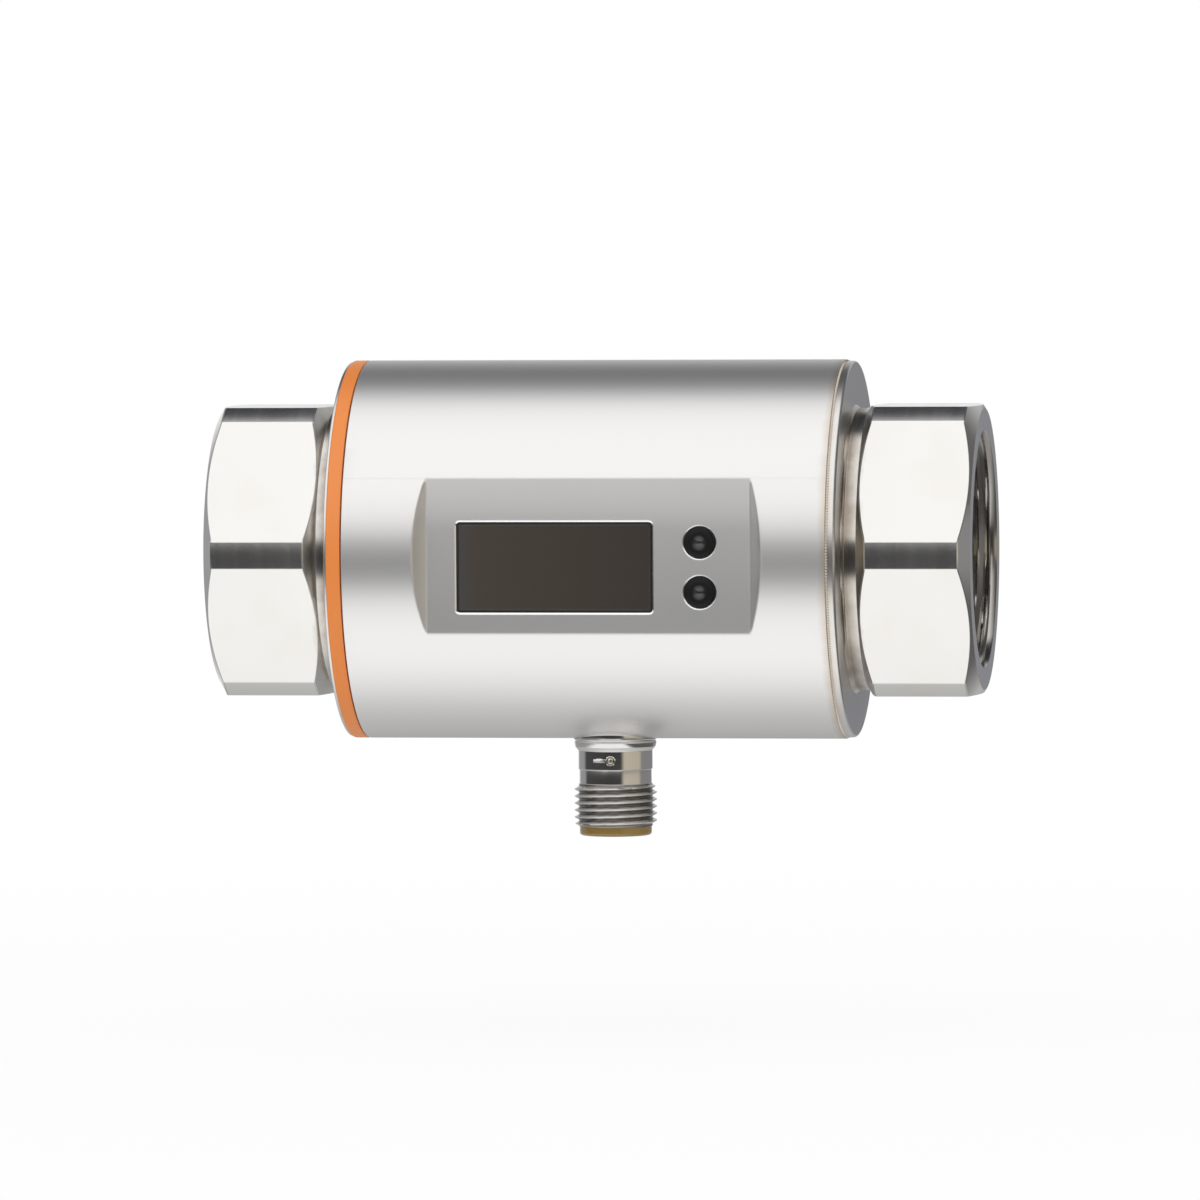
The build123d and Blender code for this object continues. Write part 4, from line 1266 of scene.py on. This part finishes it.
@dataclass
class Plug:
    """The turned plug shell under the housing."""

    thread_root_r: float = 5.25
    thread_crest_r: float = 5.9
    pitch: float = 1.0
    thread_run_out: float = 0.35
    relief_r: float = 5.15
    barrel_r: float = 5.3
    collar_foot_r: float = 5.7
    collar_r: float = 6.0
    stem_r: float = 5.9
    bore_r: float = 4.85
    thread_length: float = 6.2
    relief_length: float = 2.05
    barrel_length: float = 2.65
    collar_step: float = 0.4
    collar_taper: float = 1.35
    mark_r: float = 0.65
    mark_out: float = 0.15
    dash_length: float = 2.0
    dash_r: float = 0.28
    dash_out: float = 0.13
    dash_angle: float = 18.6
    edge: float = 0.08
    round_steps: int = 176
    steps_per_turn: int = 14

    def marks(self, middle: float) -> tuple[Shape, Shape]:
        """Gives what cuts the key mark of the barrel: a round pit and a dash beside it."""
        quarter = [math.pi / 2 * step / 8 for step in range(9)]
        bowl = [(self.mark_out - self.mark_r * math.cos(t), self.mark_r * math.sin(t)) for t in quarter]
        pit = Shape().turned(bowl + [(0.5, self.mark_r), (0.5, 0.0)], 40, Turn.TO_FRONT,
                             (middle, -self.barrel_r, 0))
        half = self.dash_length / 2
        rod = [(-half, 0.0), (0.1 - half, self.dash_r), (half - 0.1, self.dash_r), (half, 0.0)]
        dash = Shape().turned(rod, 24, Turn.DOWN, (middle, -self.barrel_r - self.dash_out, 0))
        bmesh.ops.rotate(dash.mesh, matrix=Matrix.Rotation(math.radians(self.dash_angle), 3, "X"),
                         verts=dash.mesh.verts[:])
        return pit, dash

    def build(self) -> None:
        """Builds the shell: stem, flared collar, barrel, relief and thread."""
        low, high = box_mm("connector_shell")
        end, top = -low.z, -high.z
        centre_x = sum(corner.x for corner in box_mm("contact_carrier")) / 2
        tube_r = box_mm("housing_tube")[1].z
        thread_top = end - self.thread_length
        relief_top = thread_top - self.relief_length
        barrel_top = relief_top - self.barrel_length
        foot = barrel_top - self.collar_step
        flare = foot - self.collar_taper
        thread = Thread(self.thread_root_r, self.thread_crest_r, self.pitch, thread_top + 0.15, end - 0.1,
                        self.thread_run_out)
        collar = softened([
            (top, self.bore_r), (top, self.stem_r, self.edge), (tube_r - 1.2, self.stem_r),
            (tube_r - 0.9, self.collar_r), (tube_r + 0.1, self.collar_r - 0.16, 0.2),
            (flare, self.collar_r, 0.1), (flare + 0.32, self.collar_r - 0.3, 0.1),
            (flare + 0.55, self.collar_r - 0.12, 0.08),
            (foot - 0.15, self.collar_foot_r + 0.06, 0.1), (foot, self.collar_foot_r - 0.08, 0.08),
            (barrel_top, self.barrel_r, 0.1),
            *((x, self.barrel_r) for x in span(barrel_top + 0.13, relief_top - 0.11, 0.12)),
            (relief_top, self.barrel_r, self.edge),
            (relief_top + 0.1, self.relief_r, 0.05), (thread_top, self.relief_r, 0.05),
            (thread_top + 0.1, self.thread_root_r),
        ], closed=False)
        mouth = softened([(end - 0.05, self.thread_root_r), (end, self.thread_root_r - 0.1),
                          (end, self.bore_r)], closed=False)
        pit, dash = self.marks((barrel_top + relief_top) / 2)
        profile = collar + thread.band(self.steps_per_turn) + mouth
        shape = Shape().turned(profile, self.round_steps).cut(pit).cut(dash)
        made = shape.piece("plug_shell_skin", Palette.plug_steel, 40.0)
        thread.raise_on(made, Palette.plug_steel)
        made.data.transform(Matrix.Translation((centre_x * MM, 0, 0)) @ Turn.DOWN.value)
        smooth(made, 40.0)
        keep_on_body(made, BODY, "plug_steel", "connector_shell")


@dataclass
class InnerPieces:
    """The carried-over CAD pieces: what shows of the plug and all that lies inside."""

    frame: dict

    def dress(self) -> None:
        """Gives each piece the finish of its own material."""
        for finish, names in CAD_FINISHES.items():
            material = getattr(Palette, finish).material()
            for name in names:
                for slot in self.frame["nodes"][name].material_slots:
                    slot.material = material
                LOG.info("%s is dressed as %s", name, finish)


PITCH_FIELDS: Sequence[Stop] = (
    (-180, 0.5), (-100, 0.6), (-60, 0.9), (-30, 0.5), (-17, (0.05, 0.05, 0.056)), (14, (0.05, 0.05, 0.056)),
    (30, 1.1), (103, 1.15), (112, (0.12, 0.124, 0.138)), (117, (0.042, 0.045, 0.053)),
    (145, (0.042, 0.045, 0.053)), (157, 0.6), (168, 0.6), (174, 1.05),
)
YAW_FIELDS: Sequence[Stop] = (
    (-180, 1.05), (-165, 1.0), (-140, (0.36, 0.36, 0.38)), (-106, (0.34, 0.34, 0.36)),
    (-96, (0.07, 0.068, 0.07)), (-20, (0.045, 0.044, 0.045)), (25, (0.055, 0.054, 0.055)),
    (36, (0.62, 0.56, 0.46)), (88, (0.55, 0.5, 0.42)), (98, (0.27, 0.267, 0.265)), (179, (0.25, 0.255, 0.28)),
)
FLOOR_HALF_DEPTH = 0.25
FLOOR_FIELDS: Sequence[Stop] = (
    (-0.25, 0.06), (-0.222, 0.06), (-0.168, 1.1), (-0.045, 1.1), (-0.028, 1.0), (-0.016, 0.84),
    (-0.003, 0.67), (0.015, 0.56), (0.046, 0.5), (0.12, 0.46),
)
WHITE = (1.0, 1.0, 1.0)
FLOOR_COLOUR = (0.88, 0.88, 0.88)
RIGHT_LIGHT = (0.12, 0.118, 0.116)
LEFT_LIGHT = (0.36, 0.36, 0.37)
DIFFUSE_LIGHT = (0.85, 0.85, 0.85)


@dataclass
class Studio:
    """White surroundings, soft lamps and the photograph's camera."""

    distance: float = 1.4987
    focus_px: float = 10500.0
    half_frame_px: float = 600.0
    azimuth: float = 8.1
    elevation: float = 2.3
    roll: float = -0.33
    target_x: float = -0.0007
    target_drop: float = 0.00728
    floor_z: float = -0.07
    floor_reach: float = 0.6
    card_y: float = -0.18
    card_low: float = 0.027
    card_high: float = 0.3
    card_left: float = -0.3
    card_right: float = 0.12
    card_light: float = 1.12
    shadow_strength: float = 0.12
    lamp_size: float = 1.2
    clip: tuple[float, float] = (0.05, 20.0)
    shadow_fade: tuple[float, float] = (0.1, 0.4)
    glow_right: tuple[float, float] = (0.065, 0.09)
    glow_left: tuple[float, float] = (0.09, 0.14)
    glow_fade: float = 0.02

    def build_camera(self) -> None:
        """Places the camera as the photograph has it."""
        turn, rise = math.radians(self.azimuth), math.radians(self.elevation)
        back = Vector((math.sin(turn) * math.cos(rise), -math.cos(turn) * math.cos(rise), math.sin(rise)))
        right = Vector((math.cos(turn), math.sin(turn), 0))
        up = back.cross(right)
        place = Vector((self.target_x, 0, 0)) + back * self.distance
        aim = Vector((self.target_x, 0, 0)) - up * self.target_drop
        data = bpy.data.cameras.new("camera")
        data.sensor_fit = "HORIZONTAL"
        data.angle = 2 * math.atan(self.half_frame_px / self.focus_px)
        data.clip_start, data.clip_end = self.clip
        made = placed("camera", data)
        made.location = place
        turned = (aim - place).to_track_quat("-Z", "Y") @ Quaternion((0, 0, 1), math.radians(self.roll))
        made.rotation_euler = turned.to_euler()
        bpy.context.scene.camera = made

    @staticmethod
    def fields(graph: Graph, heading: Wire, stops: Sequence[Stop]) -> Wire:
        """Adds light and dark fields by a heading.

        Args:
            graph: The world's node tree.
            heading: The heading's wire, in radians from -pi to pi.
            stops: Each field's heading in degrees and its light.

        Returns:
            The light of a heading.
        """
        places = [((degrees + 180) / 360, light) for degrees, light in stops]
        part = (heading + math.pi) / (2 * math.pi)
        return graph.add("ShaderNodeValToRGB", part, settings={"stops": places})

    def build_world(self) -> None:
        """Builds the surroundings: white to the eye, and light and dark fields in reflections."""
        world = bpy.data.worlds.new("studio")
        world.use_nodes = True
        bpy.context.scene.world = world
        graph = Graph(world.node_tree)
        path = {name: graph.add("ShaderNodeLightPath", output=name) for name in
                ("Is Camera Ray", "Is Glossy Ray", "Is Transmission Ray")}
        across, depth, height = graph.axes(graph.add("ShaderNodeTexCoord", output="Generated"))
        over = self.fields(graph, height.maths("ARCTAN2", depth * -1), PITCH_FIELDS)
        over = graph.mix(across.between(0.25, 0.6), over, RIGHT_LIGHT)
        over = graph.mix((across * -1).between(0.3, 0.7), over, LEFT_LIGHT)
        round_about = self.fields(graph, across.maths("ARCTAN2", depth * -1), YAW_FIELDS)
        mirrored = graph.mix(abs(height).between(0.1, 0.24), round_about, over)
        seen = graph.mix(path["Is Glossy Ray"], DIFFUSE_LIGHT, mirrored)
        clear = path["Is Camera Ray"] + path["Is Transmission Ray"]
        shown = graph.mix(clear.between(0.0, 1.0), seen, WHITE)
        background = graph.add("ShaderNodeBackground", shown, 1.0)
        graph.add("ShaderNodeOutputWorld", Surface=background)

    @staticmethod
    def plate(name: str, material_name: str, corners: Path) -> tuple[bpy.types.Object, Graph]:
        """Makes a plate of the surroundings.

        Args:
            name: Its name.
            material_name: Its material's name.
            corners: Its four corners, in metres.

        Returns:
            The plate and the empty node tree of its material.
        """
        data = bpy.data.meshes.new(name)
        data.from_pydata(corners, [], [(0, 1, 2, 3)])
        material, graph = new_material(material_name)
        data.materials.append(material)
        made = placed(name, data)
        return made, graph

    def build_floor(self) -> None:
        """Builds the pale floor, which keeps the object's soft shadow."""
        reach = self.floor_reach
        _, graph = self.plate("floor", "pale_floor", [
            (x * reach, y * reach, self.floor_z) for x, y in ((-1, -1), (1, -1), (1, 1), (-1, 1))])
        across, depth, _ = graph.place()
        half = FLOOR_HALF_DEPTH
        stops = [((place + half) / (2 * half), level) for place, level in FLOOR_FIELDS]
        ramp = graph.add("ShaderNodeValToRGB", depth.between(-half, half), settings={"stops": stops})
        beside = across.between(*self.glow_right) + (across * -1).between(*self.glow_left)
        beside = beside + (depth * -1).between(half, half + self.glow_fade)
        glow = graph.add("ShaderNodeEmission", ramp, 1.0)
        clear = graph.add("ShaderNodeBsdfTransparent", WHITE)
        mirrored = graph.add("ShaderNodeMixShader", beside.between(0.0, 1.0), glow, clear)
        lit = graph.add("ShaderNodeBsdfDiffuse", FLOOR_COLOUR)
        white = graph.add("ShaderNodeEmission", WHITE, 1.0)
        shadow = self.shadow_strength - self.shadow_strength * across.hypot(depth).between(*self.shadow_fade)
        shown = graph.add("ShaderNodeMixShader", shadow, white, lit)
        camera = graph.add("ShaderNodeLightPath", output="Is Camera Ray")
        glossy = graph.add("ShaderNodeLightPath", output="Is Glossy Ray")
        surface = graph.add("ShaderNodeMixShader", camera, lit, shown)
        surface = graph.add("ShaderNodeMixShader", glossy, surface, mirrored)
        below = graph.add("ShaderNodeNewGeometry", output="Backfacing")
        surface = graph.add("ShaderNodeMixShader", below, surface, clear)
        graph.add("ShaderNodeOutputMaterial", Surface=surface)

    def build_card(self) -> None:
        """Builds the white card over the camera that only reflections show."""
        left, right, low, high = self.card_left, self.card_right, self.card_low, self.card_high
        made, graph = self.plate("card", "white_card", [
            (x, self.card_y, z) for x, z in ((left, low), (right, low), (right, high), (left, high))])
        for ray in ("camera", "diffuse", "transmission", "volume_scatter", "shadow"):
            setattr(made, f"visible_{ray}", False)
        glow = graph.add("ShaderNodeEmission", WHITE, self.card_light)
        graph.add("ShaderNodeOutputMaterial", Surface=glow)

    def build_lamps(self) -> None:
        """Builds the soft lamps, which don't show in reflections."""
        for name, place, power in (("key", (-0.5, -0.9, 1.1), 3.2), ("fill", (0.9, -0.6, 0.7), 1.6)):
            data = bpy.data.lights.new(name, "AREA")
            data.energy = power
            data.size = self.lamp_size
            made = placed(name, data)
            made.location = place
            made.rotation_euler = (-Vector(place)).to_track_quat("-Z", "Y").to_euler()
            made.visible_glossy = False

    def build(self) -> None:
        """Builds everything round the object."""
        bpy.context.scene.view_settings.view_transform = "Standard"
        self.build_camera()
        self.build_world()
        self.build_floor()
        self.build_card()
        self.build_lamps()


def main() -> None:
    """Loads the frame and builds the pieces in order."""
    logging.basicConfig(level=logging.INFO, format="%(name)s: %(message)s")
    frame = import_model()
    Studio().build()
    housing = Housing()
    housing.build_tube()
    housing.build_covers()
    housing.build_ring()
    housing.build_weld()
    Fittings().build()
    panel = FrontPanel()
    panel.build_pane()
    panel.build_buttons()
    Plug().build()
    InnerPieces(frame).dress()


if __name__ == "__main__":
    main()
